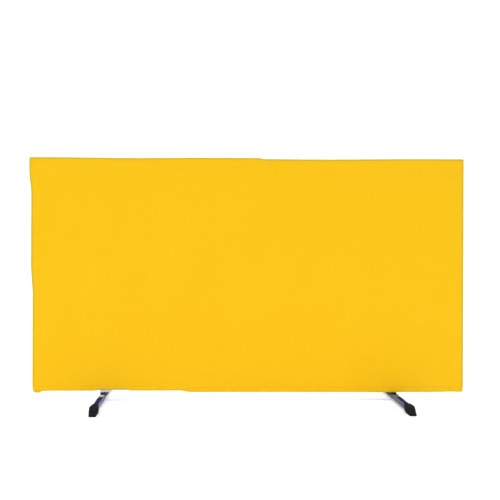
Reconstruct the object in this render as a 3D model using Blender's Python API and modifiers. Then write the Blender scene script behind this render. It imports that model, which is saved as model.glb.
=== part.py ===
"""Table tennis barrier: a yellow cloth sleeve over a square tube frame that stands on two swivelling feet.

Metres, +Z up. The origin is on the floor, midway between the feet. +X runs along the panel, -Y is its front.
The frame is four tubes plugged onto plastic corner blocks. The sleeve closes under the bottom rail with hook
and loop tape. Each foot turns on an upright bolt through the bottom rail, and folds flat along it.
"""

import math

import bmesh
import bpy

# Frame tubes
FRAME_WIDTH = 1.400
FRAME_HEIGHT = 0.750
TUBE_SIDE = 0.019
TUBE_WALL = 0.0012
TUBE_EDGE_RADIUS = 0.0022

# Clearance that every piece keeps to the piece it seats on
GAP = 0.0003
# How far a cutter runs past what it cuts
OVERRUN = 0.004

# Corner blocks, plugged into the tube ends
BLOCK_SIDE = 0.024
BLOCK_RADIUS = 0.009
TOP_BLOCK_RADIUS = 0.003
SPIGOT_LENGTH = 0.038
SPIGOT_CHAMFER = 0.0012
BUMPER_DROP = 0.004

# Screws that hold the tubes on the corner blocks
SCREW_RADIUS = 0.002
SCREW_LENGTH = 0.012
SCREW_TIP = 0.003
SCREW_HEAD_RADIUS = 0.0036
SCREW_HEAD_HEIGHT = 0.0022
SCREW_HEAD_EASE = 0.0012
SCREW_SLOT_WIDTH = 0.001
SCREW_SLOT_DEPTH = 0.0012
SCREW_FROM_BLOCK = 0.018

# Cloth sleeve and its closure under the rail
CLOTH = 0.0008
TAPE = 0.0008
TAPE_WIDTH = 0.016
TAPE_END_MARGIN = 0.006
NOTCH_MARGIN = 0.010
NOTCH_GRIP = 0.083
BLOCK_TO_FLAP = 0.002

# Feet
FOOT_LENGTH = 0.400
FOOT_INSET = 0.224
ARM_SIDE = 0.016
ARM_WALL = 0.0015
ARM_EDGE_RADIUS = 0.0022

# Rubber shoes on the ends of the feet
SHOE_LENGTH = 0.056
SOCKET_DEPTH = 0.022
SHOE_WALL = 0.002
SHOE_WIDTH = 0.028
SHOE_BELLY_FROM_MOUTH = 0.019
NOSE_WIDTH = 0.019
NOSE_HEIGHT = 0.0075
NOSE_ROUND = 0.002
SOLE = 0.0055
SOLE_ROUND = 0.0015
GROOVE_WIDTH = 0.002
GROOVE_DEPTH = 0.0012
GROOVE_PITCH = 0.009
GROOVE_COUNT = 4
GROOVES_FROM_MOUTH = 0.014
# How far up its height the side of a shoe starts to lean in
shoulder_share = 0.6
# How far out from its middle the flat crown of a shoe ends
crown_share = 0.4
# Power of the curve between them: high is square, 2 is an ellipse
MOUTH_SQUARENESS = 4
NOSE_SQUARENESS = 2.2

# Pivot of a foot
BOLT_RADIUS = 0.004
BOLT_CHAMFER = 0.0006
BOLT_STICK_OUT = 0.002
BOLT_HEAD_RADIUS = 0.0075
BOLT_HEAD_HEIGHT = 0.0028
BOLT_FLANGE = 0.0009
SOCKET_ACROSS_FLATS = 0.005
SOCKET_HEX_DEPTH = 0.0019
BUSH_WALL = 0.0018
SPACER_INSET = 0.0005
SWING_CLEARANCE = 0.0065
WASHER_RADIUS = 0.0085
WASHER_THICKNESS = 0.0016
NUT_ACROSS_FLATS = 0.013
NUT_HEX_HEIGHT = 0.0062
NUT_COLLAR_HEIGHT = 0.0018
NUT_COLLAR_RADIUS = 0.0058

# Facets
ROUND_STEPS = 32
SCREW_STEPS = 16
ARC_STEPS = 4
SHOE_RINGS = 13
SHOULDER_STEPS = 6
NOSE_STEPS = 3
MERGE = 0.00001

# Sizes that follow from those above
shoe_top = SOLE + GAP + ARM_SIDE + GAP + SHOE_WALL
arm_bottom = SOLE + GAP
arm_top = arm_bottom + ARM_SIDE
cover_bottom = shoe_top + SWING_CLEARANCE
front_flap_top = cover_bottom + CLOTH
hook_bottom = front_flap_top + GAP
loop_bottom = hook_bottom + TAPE + GAP
back_flap_bottom = loop_bottom + TAPE + GAP
rail_bottom = back_flap_bottom + CLOTH + GAP
rail_top = rail_bottom + TUBE_SIDE
frame_top = rail_bottom + FRAME_HEIGHT
cover_top = frame_top + GAP + CLOTH
cover_half_width = FRAME_WIDTH / 2 + GAP + CLOTH
cover_radius = BLOCK_RADIUS + GAP + CLOTH
cover_top_radius = TOP_BLOCK_RADIUS + GAP + CLOTH
tube_half = TUBE_SIDE / 2
sheet_inside = tube_half + GAP
block_inner = FRAME_WIDTH / 2 - BLOCK_SIDE
spacer_bottom = arm_top + GAP
spacer_height = rail_bottom - GAP - spacer_bottom
spacer_radius = tube_half - SPACER_INSET
washer_bottom = rail_top + GAP
nut_bottom = washer_bottom + WASHER_THICKNESS + GAP
bolt_seat = arm_bottom - GAP
bolt_length = nut_bottom + NUT_HEX_HEIGHT + NUT_COLLAR_HEIGHT + BOLT_STICK_OUT - bolt_seat
bore_radius = BOLT_RADIUS + GAP
bush_radius = bore_radius + BUSH_WALL
foot_x = FRAME_WIDTH / 2 - FOOT_INSET
arm_length = FOOT_LENGTH - 2 * (SHOE_LENGTH - SOCKET_DEPTH) - 2 * GAP


def clear_scene():
    for obj in list(bpy.data.objects):
        bpy.data.objects.remove(obj, do_unlink=True)


def new_collection(name):
    collection = bpy.data.collections.new(name)
    bpy.context.scene.collection.children.link(collection)
    return collection


def material(name, colour, roughness, metallic):
    made = bpy.data.materials.new(name)
    made.use_nodes = True
    shader = made.node_tree.nodes["Principled BSDF"]
    shader.inputs["Base Color"].default_value = (*colour, 1.0)
    shader.inputs["Roughness"].default_value = roughness
    shader.inputs["Metallic"].default_value = metallic
    made.diffuse_color = (*colour, 1.0)
    return made


clear_scene()
PARTS = new_collection("table_tennis_barrier")
CUTTERS = new_collection("cutters")

YELLOW_CLOTH = material("yellow_cloth", (0.98, 0.57, 0.012), 0.62, 0.0)
YELLOW_PLASTIC = material("yellow_plastic", (0.95, 0.55, 0.012), 0.45, 0.0)
BLACK_PLASTIC = material("black_plastic", (0.03, 0.03, 0.032), 0.5, 0.0)
BLACK_RUBBER = material("black_rubber", (0.022, 0.022, 0.025), 0.7, 0.0)
GREY_STEEL = material("grey_steel", (0.17, 0.18, 0.22), 0.3, 0.3)
ZINC = material("zinc", (0.62, 0.62, 0.60), 0.3, 1.0)
NYLON = material("nylon", (0.82, 0.81, 0.77), 0.4, 0.0)
TAPE_BLACK = material("hook_and_loop", (0.04, 0.04, 0.042), 0.9, 0.0)


def add_part(name, mesh, look, place=(0, 0, 0), turn=(0, 0, 0), parent=None):
    """A named piece of the object, at its place."""
    obj = bpy.data.objects.new(name, mesh)
    PARTS.objects.link(obj)
    if not mesh.materials:
        mesh.materials.append(look)
    obj.location = place
    obj.rotation_euler = turn
    obj.parent = parent
    return obj


def add_cutter(name, mesh, place=(0, 0, 0), turn=(0, 0, 0)):
    """A shape that cuts or joins a part and isn't a part itself."""
    obj = bpy.data.objects.new(name, mesh)
    CUTTERS.objects.link(obj)
    obj.location = place
    obj.rotation_euler = turn
    obj.hide_render = True
    obj.display_type = "WIRE"
    return obj


def combine(obj, operation, other):
    """A Boolean modifier on obj: DIFFERENCE, UNION or INTERSECT with other."""
    modifier = obj.modifiers.new(other.name, "BOOLEAN")
    modifier.operation = operation
    modifier.object = other


def smooth_mesh(obj):
    """The evaluated mesh of obj, shaded smooth but for its sharp edges."""
    bpy.context.view_layer.update()
    graph = bpy.context.evaluated_depsgraph_get()
    mesh = bpy.data.meshes.new_from_object(obj.evaluated_get(graph))
    mesh.shade_smooth()
    mesh.set_sharp_from_angle(angle=math.radians(35))
    return mesh


def remove(*objects):
    for obj in objects:
        bpy.data.objects.remove(obj, do_unlink=True)


def arc(centre, radius, start, end):
    """Points on an arc between two angles in degrees, both ends included."""
    angles = [math.radians(start + (end - start) * i / ARC_STEPS) for i in range(ARC_STEPS + 1)]
    return [(centre[0] + radius * math.cos(a), centre[1] + radius * math.sin(a)) for a in angles]


def rounded_rectangle(low, high, radius, top_radius=None):
    """Corner points, anticlockwise, of a rectangle from low to high with round corners."""
    top = top_radius or radius
    points = arc((high[0] - top, high[1] - top), top, 0, 90)
    points += arc((low[0] + top, high[1] - top), top, 90, 180)
    points += arc((low[0] + radius, low[1] + radius), radius, 180, 270)
    points += arc((high[0] - radius, low[1] + radius), radius, 270, 360)
    return points


def outline_mesh(loops, thickness):
    """A flat plate in XY: a 2D curve with one closed spline for each loop, extruded both ways along Z."""
    curve = bpy.data.curves.new("outline", "CURVE")
    curve.dimensions = "2D"
    curve.fill_mode = "BOTH"
    curve.extrude = thickness / 2
    for loop in loops:
        spline = curve.splines.new("POLY")
        spline.points.add(len(loop) - 1)
        for point, (x, y) in zip(spline.points, loop):
            point.co = (x, y, 0, 1)
        spline.use_cyclic_u = True
    holder = bpy.data.objects.new("outline", curve)
    CUTTERS.objects.link(holder)
    bpy.context.view_layer.update()
    graph = bpy.context.evaluated_depsgraph_get()
    mesh = bpy.data.meshes.new_from_object(holder.evaluated_get(graph))
    remove(holder)
    shape = bmesh.new()
    shape.from_mesh(mesh)
    bmesh.ops.remove_doubles(shape, verts=shape.verts, dist=MERGE)
    shape.to_mesh(mesh)
    shape.free()
    return mesh


def box_mesh(low, high, chamfer=0):
    """A box from its low corner to its high corner, its edges chamfered if asked."""
    shape = bmesh.new()
    bmesh.ops.create_cube(shape, size=1)
    for vert in shape.verts:
        for k in range(3):
            vert.co[k] = (low[k] + high[k]) / 2 + vert.co[k] * (high[k] - low[k])
    if chamfer:
        bmesh.ops.bevel(shape, geom=shape.edges, offset=chamfer, segments=1, affect="EDGES")
    mesh = bpy.data.meshes.new("box")
    shape.to_mesh(mesh)
    shape.free()
    return mesh


def rod_mesh(radius, low, high, sides=ROUND_STEPS):
    """A closed cylinder, or prism, about Z from height low to height high."""
    shape = bmesh.new()
    bmesh.ops.create_cone(
        shape, cap_ends=True, segments=sides, radius1=radius, radius2=radius, depth=high - low
    )
    bmesh.ops.translate(shape, verts=shape.verts, vec=(0, 0, (low + high) / 2))
    mesh = bpy.data.meshes.new("rod")
    shape.to_mesh(mesh)
    shape.free()
    return mesh


def turned_mesh(profile, closed=False, steps=ROUND_STEPS):
    """A profile of (radius, height) points, down its outer side, turned about Z by a Screw modifier."""
    mesh = bpy.data.meshes.new("profile")
    edges = [(i, i + 1) for i in range(len(profile) - 1)]
    if closed:
        edges.append((len(profile) - 1, 0))
    mesh.from_pydata([(r, 0, z) for r, z in profile], edges, [])
    holder = bpy.data.objects.new("profile", mesh)
    CUTTERS.objects.link(holder)
    screw = holder.modifiers.new("turn", "SCREW")
    screw.steps = steps
    screw.render_steps = steps
    screw.use_merge_vertices = True
    screw.merge_threshold = MERGE
    turned = smooth_mesh(holder)
    remove(holder)
    return turned


def ring_mesh(inner, outer, height):
    """A flat ring or a tube about Z, from height 0 up."""
    profile = [(outer, height), (outer, 0), (inner, 0), (inner, height)]
    return turned_mesh(profile, closed=True)


# Turns that lay a tube, made along Z, along another axis
ALONG_X = (math.pi / 2, 0, math.pi / 2)
ALONG_Y = (math.pi / 2, 0, 0)
UPRIGHT_PLATE = (math.pi / 2, 0, 0)
HALF_TURN = (0, 0, math.pi)


def square_tube_mesh(side, wall, edge_radius, length):
    """A square tube along Z with round edges, centred on the origin."""
    half = side / 2
    inner = half - wall
    outer_loop = rounded_rectangle((-half, -half), (half, half), edge_radius)
    inner_loop = rounded_rectangle((-inner, -inner), (inner, inner), max(edge_radius - wall, MERGE))
    return outline_mesh([outer_loop, inner_loop], length)


def make_tubes():
    """The two rails and the two uprights. Each ends at the shoulder of a corner block."""
    rail_length = FRAME_WIDTH - 2 * BLOCK_SIDE - 2 * GAP
    upright_length = FRAME_HEIGHT - 2 * BLOCK_SIDE - 2 * GAP
    rail_mesh = square_tube_mesh(TUBE_SIDE, TUBE_WALL, TUBE_EDGE_RADIUS, rail_length)
    upright_mesh = square_tube_mesh(TUBE_SIDE, TUBE_WALL, TUBE_EDGE_RADIUS, upright_length)
    upright_x = FRAME_WIDTH / 2 - tube_half
    middle = (rail_bottom + frame_top) / 2
    return {
        "bottom": add_part("bottom_rail", rail_mesh, GREY_STEEL, (0, 0, rail_bottom + tube_half), ALONG_X),
        "top": add_part("top_rail", rail_mesh, GREY_STEEL, (0, 0, frame_top - tube_half), ALONG_X),
        "left": add_part("left_upright", upright_mesh, GREY_STEEL, (-upright_x, 0, middle)),
        "right": add_part("right_upright", upright_mesh, GREY_STEEL, (upright_x, 0, middle)),
    }


def corner_block_mesh(drop, radius_below):
    """A corner block for the bottom right of the frame, its outer corner at the origin.

    The block runs left and up from the corner, and drop below it. Two square spigots stand on its shoulders.
    """
    far = -BLOCK_SIDE
    outline = arc((-radius_below, radius_below - drop), radius_below, 270, 360)
    outline += [(0, BLOCK_SIDE), (far, BLOCK_SIDE)]
    outline += arc((far + SPIGOT_CHAMFER, SPIGOT_CHAMFER - drop), SPIGOT_CHAMFER, 180, 270)
    block = add_cutter("block", outline_mesh([outline], TUBE_SIDE), (0, 0, 0), UPRIGHT_PLATE)
    half = tube_half - TUBE_WALL - GAP
    rail_spigot = add_cutter(
        "rail_spigot",
        box_mesh(
            (far - SPIGOT_LENGTH, -half, tube_half - half),
            (far + OVERRUN, half, tube_half + half),
            SPIGOT_CHAMFER,
        ),
    )
    upright_spigot = add_cutter(
        "upright_spigot",
        box_mesh(
            (-tube_half - half, -half, BLOCK_SIDE - OVERRUN),
            (-tube_half + half, half, BLOCK_SIDE + SPIGOT_LENGTH),
            SPIGOT_CHAMFER,
        ),
    )
    combine(block, "UNION", rail_spigot)
    combine(block, "UNION", upright_spigot)
    mesh = smooth_mesh(block)
    mesh.transform(block.matrix_world)
    remove(block, rail_spigot, upright_spigot)
    return mesh


def make_corner_blocks():
    """Two plain blocks at the top, and two at the bottom that reach below the cloth as bumpers."""
    drop = rail_bottom - cover_bottom + BUMPER_DROP
    bottom_mesh = corner_block_mesh(drop, BLOCK_RADIUS)
    top_mesh = corner_block_mesh(0, TOP_BLOCK_RADIUS)
    half = FRAME_WIDTH / 2
    upside_down = (0, math.pi, 0)
    over_and_round = (math.pi, 0, 0)
    return {
        "bottom_right": add_part(
            "bottom_right_corner", bottom_mesh, YELLOW_PLASTIC, (half, 0, rail_bottom)
        ),
        "bottom_left": add_part(
            "bottom_left_corner", bottom_mesh, YELLOW_PLASTIC, (-half, 0, rail_bottom), HALF_TURN
        ),
        "top_left": add_part(
            "top_left_corner", top_mesh, BLACK_PLASTIC, (-half, 0, frame_top), upside_down
        ),
        "top_right": add_part(
            "top_right_corner", top_mesh, BLACK_PLASTIC, (half, 0, frame_top), over_and_round
        ),
    }


def screw_mesh():
    """A self-tapping screw that drives along +Z. The underside of its head is at height 0."""
    profile = [(0, SCREW_LENGTH), (SCREW_RADIUS, SCREW_LENGTH - SCREW_TIP), (SCREW_RADIUS, 0)]
    profile += [(SCREW_HEAD_RADIUS, 0), (SCREW_HEAD_RADIUS, SCREW_HEAD_EASE - SCREW_HEAD_HEIGHT)]
    profile += [(SCREW_HEAD_RADIUS - SCREW_HEAD_EASE, -SCREW_HEAD_HEIGHT), (0, -SCREW_HEAD_HEIGHT)]
    body = add_cutter("screw", turned_mesh(profile, steps=SCREW_STEPS))
    slots = []
    for turn in (0, math.pi / 2):
        low = (-SCREW_HEAD_RADIUS / 2, -SCREW_SLOT_WIDTH / 2, -SCREW_HEAD_HEIGHT - OVERRUN)
        high = (SCREW_HEAD_RADIUS / 2, SCREW_SLOT_WIDTH / 2, SCREW_SLOT_DEPTH - SCREW_HEAD_HEIGHT)
        slots.append(add_cutter("slot", box_mesh(low, high), (0, 0, 0), (0, 0, turn)))
        combine(body, "DIFFERENCE", slots[-1])
    mesh = smooth_mesh(body)
    remove(body, *slots)
    return mesh


def make_corner_screws(tubes, blocks):
    """One screw through the inner wall of each tube end into the spigot inside it, with its hole."""
    from_end = BLOCK_SIDE + SCREW_FROM_BLOCK
    screw_x = FRAME_WIDTH / 2 - from_end
    inner_x = FRAME_WIDTH / 2 - TUBE_SIDE
    inner_low = rail_top
    inner_high = frame_top - TUBE_SIDE
    into_top, into_bottom = (0, 0, 0), (math.pi, 0, 0)
    into_right, into_left = (0, math.pi / 2, 0), (0, -math.pi / 2, 0)
    mesh = screw_mesh()
    hole = rod_mesh(SCREW_RADIUS + GAP, -OVERRUN, SCREW_LENGTH + GAP, SCREW_STEPS)
    places = {
        "top_rail_left_screw": ("top", "top_left", (-screw_x, 0, inner_high - GAP), into_top),
        "top_rail_right_screw": ("top", "top_right", (screw_x, 0, inner_high - GAP), into_top),
        "bottom_rail_left_screw": ("bottom", "bottom_left", (-screw_x, 0, inner_low + GAP), into_bottom),
        "bottom_rail_right_screw": ("bottom", "bottom_right", (screw_x, 0, inner_low + GAP), into_bottom),
        "left_upright_top_screw": ("left", "top_left", (GAP - inner_x, 0, frame_top - from_end), into_left),
        "left_upright_bottom_screw": (
            "left", "bottom_left", (GAP - inner_x, 0, rail_bottom + from_end), into_left
        ),
        "right_upright_top_screw": (
            "right", "top_right", (inner_x - GAP, 0, frame_top - from_end), into_right
        ),
        "right_upright_bottom_screw": (
            "right", "bottom_right", (inner_x - GAP, 0, rail_bottom + from_end), into_right
        ),
    }
    for name, (tube, block, place, turn) in places.items():
        add_part(name, mesh, ZINC, place, turn)
        cutter = add_cutter(name + "_hole", hole, place, turn)
        combine(tubes[tube], "DIFFERENCE", cutter)
        combine(blocks[block], "DIFFERENCE", cutter)


def flap_spans():
    """The stretches along X where the sleeve is folded under the rail: outside the feet, and between them.

    The notch at each foot is wider on its inner side, so that a folded foot can be gripped.
    """
    end = block_inner - BLOCK_TO_FLAP
    notch = spacer_radius + NOTCH_MARGIN
    inner = foot_x - notch - NOTCH_GRIP
    return {
        "left": (-end, -foot_x - notch),
        "middle": (-inner, inner),
        "right": (foot_x + notch, end),
    }


def make_sheet(name, side, flap_bottom):
    """The front or back sheet of the sleeve, side -1 or 1, with its three flaps folded under the rail."""
    low = (-cover_half_width, flap_bottom)
    high = (cover_half_width, cover_top)
    outline = rounded_rectangle(low, high, cover_radius, cover_top_radius)
    edge = side * (sheet_inside + CLOTH / 2)
    sheet = add_part(name, outline_mesh([outline], CLOTH), YELLOW_CLOTH, (0, edge, 0), UPRIGHT_PLATE)
    reach = -side * TAPE_WIDTH / 2
    for span, (start, end) in flap_spans().items():
        flap_low = (start, min(edge, reach), flap_bottom)
        flap_high = (end, max(edge, reach), flap_bottom + CLOTH)
        flap = add_cutter(f"{name}_{span}_flap", box_mesh(flap_low, flap_high))
        combine(sheet, "UNION", flap)
    return sheet


def make_bands():
    """The edge strips sewn between the sheets: one up each side and one over the top and its corners."""
    inside = FRAME_WIDTH / 2 + GAP
    low = rail_bottom + BLOCK_RADIUS
    high = frame_top - TOP_BLOCK_RADIUS
    strip = box_mesh((0, -tube_half, low), (CLOTH, tube_half, high - GAP))
    add_part("right_side_band", strip, YELLOW_CLOTH, (inside, 0, 0))
    add_part("left_side_band", strip, YELLOW_CLOTH, (-inside, 0, 0), HALF_TURN)
    centre_x = FRAME_WIDTH / 2 - TOP_BLOCK_RADIUS
    outline = arc((centre_x, high), cover_top_radius, 0, 90)
    outline += arc((-centre_x, high), cover_top_radius, 90, 180)
    outline += arc((-centre_x, high), TOP_BLOCK_RADIUS + GAP, 180, 90)
    outline += arc((centre_x, high), TOP_BLOCK_RADIUS + GAP, 90, 0)
    add_part("top_band", outline_mesh([outline], TUBE_SIDE), YELLOW_CLOTH, (0, 0, 0), UPRIGHT_PLATE)


def make_tapes():
    """Hook tape on the front flaps and loop tape on the back flaps, pressed together under the rail."""
    for span, (start, end) in flap_spans().items():
        for kind, bottom in (("hook", hook_bottom), ("loop", loop_bottom)):
            low = (start + TAPE_END_MARGIN, -TAPE_WIDTH / 2, bottom)
            high = (end - TAPE_END_MARGIN, TAPE_WIDTH / 2, bottom + TAPE)
            add_part(f"{span}_{kind}_tape", box_mesh(low, high), TAPE_BLACK)


def ease(start, end, share):
    """From start to end with a level tangent at both, as share goes from 0 to 1."""
    return start + (end - start) * (1 - math.cos(math.pi * share)) / 2


def shoe_half_width(reach):
    """Half the shoe's width, reach metres from its mouth: it swells to the belly and narrows to the nose."""
    mouth = ARM_SIDE / 2 + GAP + SHOE_WALL
    belly, nose = SHOE_WIDTH / 2, NOSE_WIDTH / 2
    if reach < SHOE_BELLY_FROM_MOUTH:
        return ease(mouth, belly, reach / SHOE_BELLY_FROM_MOUTH)
    share = (reach - SHOE_BELLY_FROM_MOUTH) / (SHOE_LENGTH - SHOE_BELLY_FROM_MOUTH)
    return nose + (belly - nose) * math.cos(math.pi / 2 * share)


def shoe_height(reach):
    """The shoe's height, reach metres in from its mouth: level over the arm, then falling to the nose."""
    level = SOCKET_DEPTH + SHOE_WALL
    if reach < level:
        return shoe_top
    return ease(shoe_top, NOSE_HEIGHT, (reach - level) / (SHOE_LENGTH - level))


def shoe_section(reach, inset):
    """Half a section across the shoe, from its sole to its crown, as (x, z), drawn in all round by inset.

    The shoulder follows a superellipse, whose power falls from the mouth to the nose.
    """
    width = shoe_half_width(reach) - inset
    height = shoe_height(reach) - inset
    shoulder = shoulder_share * height
    crown = crown_share * width
    power = 2 / ease(MOUTH_SQUARENESS, NOSE_SQUARENESS, reach / SHOE_LENGTH)
    points = arc((width - SOLE_ROUND, inset + SOLE_ROUND), SOLE_ROUND, -90, 0)
    for i in range(SHOULDER_STEPS + 1):
        turn = math.pi / 2 * i / SHOULDER_STEPS
        x = crown + (width - crown) * max(math.cos(turn), 0) ** power
        points.append((x, shoulder + (height - shoulder) * math.sin(turn) ** power))
    return points


def shoe_mesh():
    """A rubber shoe with its mouth at the origin and its nose at -Y, hollowed for the end of the arm.

    Its outside is a loft through sections across it, the last of them drawn in to round the nose.
    """
    rings = [(i / SHOE_RINGS * (SHOE_LENGTH - NOSE_ROUND), 0) for i in range(SHOE_RINGS + 1)]
    for i in range(1, NOSE_STEPS + 1):
        turn = math.pi / 2 * i / (NOSE_STEPS + 1)
        reach = SHOE_LENGTH - NOSE_ROUND * (1 - math.sin(turn))
        rings.append((reach, NOSE_ROUND * (1 - math.cos(turn))))
    rings[-1] = (SHOE_LENGTH, rings[-1][1])
    shape = bmesh.new()
    loops = []
    for reach, inset in rings:
        half = shoe_section(reach, inset)
        section = half + [(-x, z) for x, z in half[::-1]]
        loops.append([shape.verts.new((x, -reach, z)) for x, z in section])
    for near, far in zip(loops, loops[1:]):
        for i in range(len(near)):
            j = (i + 1) % len(near)
            shape.faces.new((near[i], near[j], far[j], far[i]))
    shape.faces.new(loops[0])
    shape.faces.new(loops[-1])
    bmesh.ops.recalc_face_normals(shape, faces=shape.faces)
    outside = bpy.data.meshes.new("shoe")
    shape.to_mesh(outside)
    shape.free()
    body = add_cutter("shoe", outside)
    half = ARM_SIDE / 2 + GAP
    hollow = add_cutter("hollow", box_mesh((-half, -SOCKET_DEPTH, SOLE), (half, OVERRUN, arm_top + GAP)))
    combine(body, "DIFFERENCE", hollow)
    helpers = [hollow]
    for i in range(GROOVE_COUNT):
        y = -GROOVES_FROM_MOUTH - i * GROOVE_PITCH
        low = (-SHOE_WIDTH, y - GROOVE_WIDTH / 2, -OVERRUN)
        high = (SHOE_WIDTH, y + GROOVE_WIDTH / 2, GROOVE_DEPTH)
        helpers.append(add_cutter("groove", box_mesh(low, high)))
        combine(body, "DIFFERENCE", helpers[-1])
    mesh = smooth_mesh(body)
    remove(body, *helpers)
    return mesh


def make_foot(name, x):
    """One foot about its upright pivot: the arm, the bush welded inside it and a shoe on each end."""
    pivot = bpy.data.objects.new(name + "_foot_pivot", None)
    PARTS.objects.link(pivot)
    pivot.location = (x, 0, 0)
    arm = add_part(
        name + "_foot_arm",
        square_tube_mesh(ARM_SIDE, ARM_WALL, ARM_EDGE_RADIUS, arm_length),
        GREY_STEEL,
        (0, 0, arm_bottom + ARM_SIDE / 2),
        ALONG_Y,
        pivot,
    )
    bore = rod_mesh(bore_radius, arm_bottom - OVERRUN, arm_top + OVERRUN)
    combine(arm, "DIFFERENCE", add_cutter(name + "_arm_bore", bore, (x, 0, 0)))
    bush_height = ARM_SIDE - 2 * ARM_WALL - 2 * GAP
    bush = ring_mesh(bore_radius, bush_radius, bush_height)
    add_part(name + "_arm_bush", bush, ZINC, (0, 0, arm_bottom + ARM_WALL + GAP), (0, 0, 0), pivot)
    shoe = shoe_mesh()
    mouth_y = FOOT_LENGTH / 2 - SHOE_LENGTH
    add_part(name + "_front_shoe", shoe, BLACK_RUBBER, (0, -mouth_y, 0), (0, 0, 0), pivot)
    add_part(name + "_rear_shoe", shoe, BLACK_RUBBER, (0, mouth_y, 0), HALF_TURN, pivot)


def bolt_mesh():
    """A button head bolt that points up. The seat of its head is at height 0."""
    profile = [(0, bolt_length), (BOLT_RADIUS - BOLT_CHAMFER, bolt_length)]
    profile += [(BOLT_RADIUS, bolt_length - BOLT_CHAMFER), (BOLT_RADIUS, 0), (BOLT_HEAD_RADIUS, 0)]
    dome = BOLT_HEAD_HEIGHT - BOLT_FLANGE
    for i in range(ARC_STEPS + 1):
        turn = math.pi / 2 * i / (ARC_STEPS + 1)
        profile.append((BOLT_HEAD_RADIUS * math.cos(turn), -BOLT_FLANGE - dome * math.sin(turn)))
    profile.append((0, -BOLT_HEAD_HEIGHT))
    body = add_cutter("bolt", turned_mesh(profile))
    hex_radius = SOCKET_ACROSS_FLATS / 2 / math.cos(math.pi / 6)
    key = rod_mesh(hex_radius, -BOLT_HEAD_HEIGHT - OVERRUN, SOCKET_HEX_DEPTH - BOLT_HEAD_HEIGHT, 6)
    hex_cutter = add_cutter("hex", key)
    combine(body, "DIFFERENCE", hex_cutter)
    mesh = smooth_mesh(body)
    remove(body, hex_cutter)
    return mesh


def nut_mesh():
    """A lock nut: a hexagon with the round collar of its nylon insert on top."""
    hex_radius = NUT_ACROSS_FLATS / 2 / math.cos(math.pi / 6)
    body = add_cutter("nut", rod_mesh(hex_radius, 0, NUT_HEX_HEIGHT, 6))
    height = NUT_HEX_HEIGHT + NUT_COLLAR_HEIGHT
    collar = add_cutter("collar", rod_mesh(NUT_COLLAR_RADIUS, NUT_HEX_HEIGHT / 2, height))
    bore = add_cutter("bore", rod_mesh(bore_radius, -OVERRUN, height + OVERRUN))
    combine(body, "UNION", collar)
    combine(body, "DIFFERENCE", bore)
    mesh = smooth_mesh(body)
    remove(body, collar, bore)
    return mesh


def make_pivots(bottom_rail):
    """What holds each foot: a spacer under the rail, a sleeve in it, a washer and nut on it, and the bolt."""
    bolt, nut = bolt_mesh(), nut_mesh()
    spacer = ring_mesh(bore_radius, spacer_radius, spacer_height)
    sleeve = ring_mesh(bore_radius, bush_radius, TUBE_SIDE - 2 * TUBE_WALL - 2 * GAP)
    washer = ring_mesh(bore_radius, WASHER_RADIUS, WASHER_THICKNESS)
    bore = rod_mesh(bore_radius, rail_bottom - OVERRUN, rail_top + OVERRUN)
    for name, x in (("left", -foot_x), ("right", foot_x)):
        combine(bottom_rail, "DIFFERENCE", add_cutter(name + "_rail_bore", bore, (x, 0, 0)))
        add_part(name + "_pivot_spacer", spacer, NYLON, (x, 0, spacer_bottom))
        add_part(name + "_rail_sleeve", sleeve, ZINC, (x, 0, rail_bottom + TUBE_WALL + GAP))
        add_part(name + "_pivot_washer", washer, ZINC, (x, 0, washer_bottom))
        add_part(name + "_pivot_nut", nut, ZINC, (x, 0, nut_bottom))
        add_part(name + "_pivot_bolt", bolt, ZINC, (x, 0, bolt_seat))


def main():
    tubes = make_tubes()
    blocks = make_corner_blocks()
    make_corner_screws(tubes, blocks)
    make_sheet("cover_front", -1, cover_bottom)
    make_sheet("cover_back", 1, back_flap_bottom)
    make_bands()
    make_tapes()
    make_pivots(tubes["bottom"])
    make_foot("left", -foot_x)
    make_foot("right", foot_x)


main()
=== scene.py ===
# %% [markdown]
# # A court barrier, dressed
# A table tennis court is fenced with low barriers: a cloth sleeve pulled over a tube frame, on two feet that
# swivel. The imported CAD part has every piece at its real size. This lesson keeps that frame and gives it its
# looks: a sewn sleeve and moulded rubber shoes in place of the plain solids, and a finish for every piece of
# metal and plastic. All lengths are in metres, +Z is up and -Y is the front.

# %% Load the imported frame
import math

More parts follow.
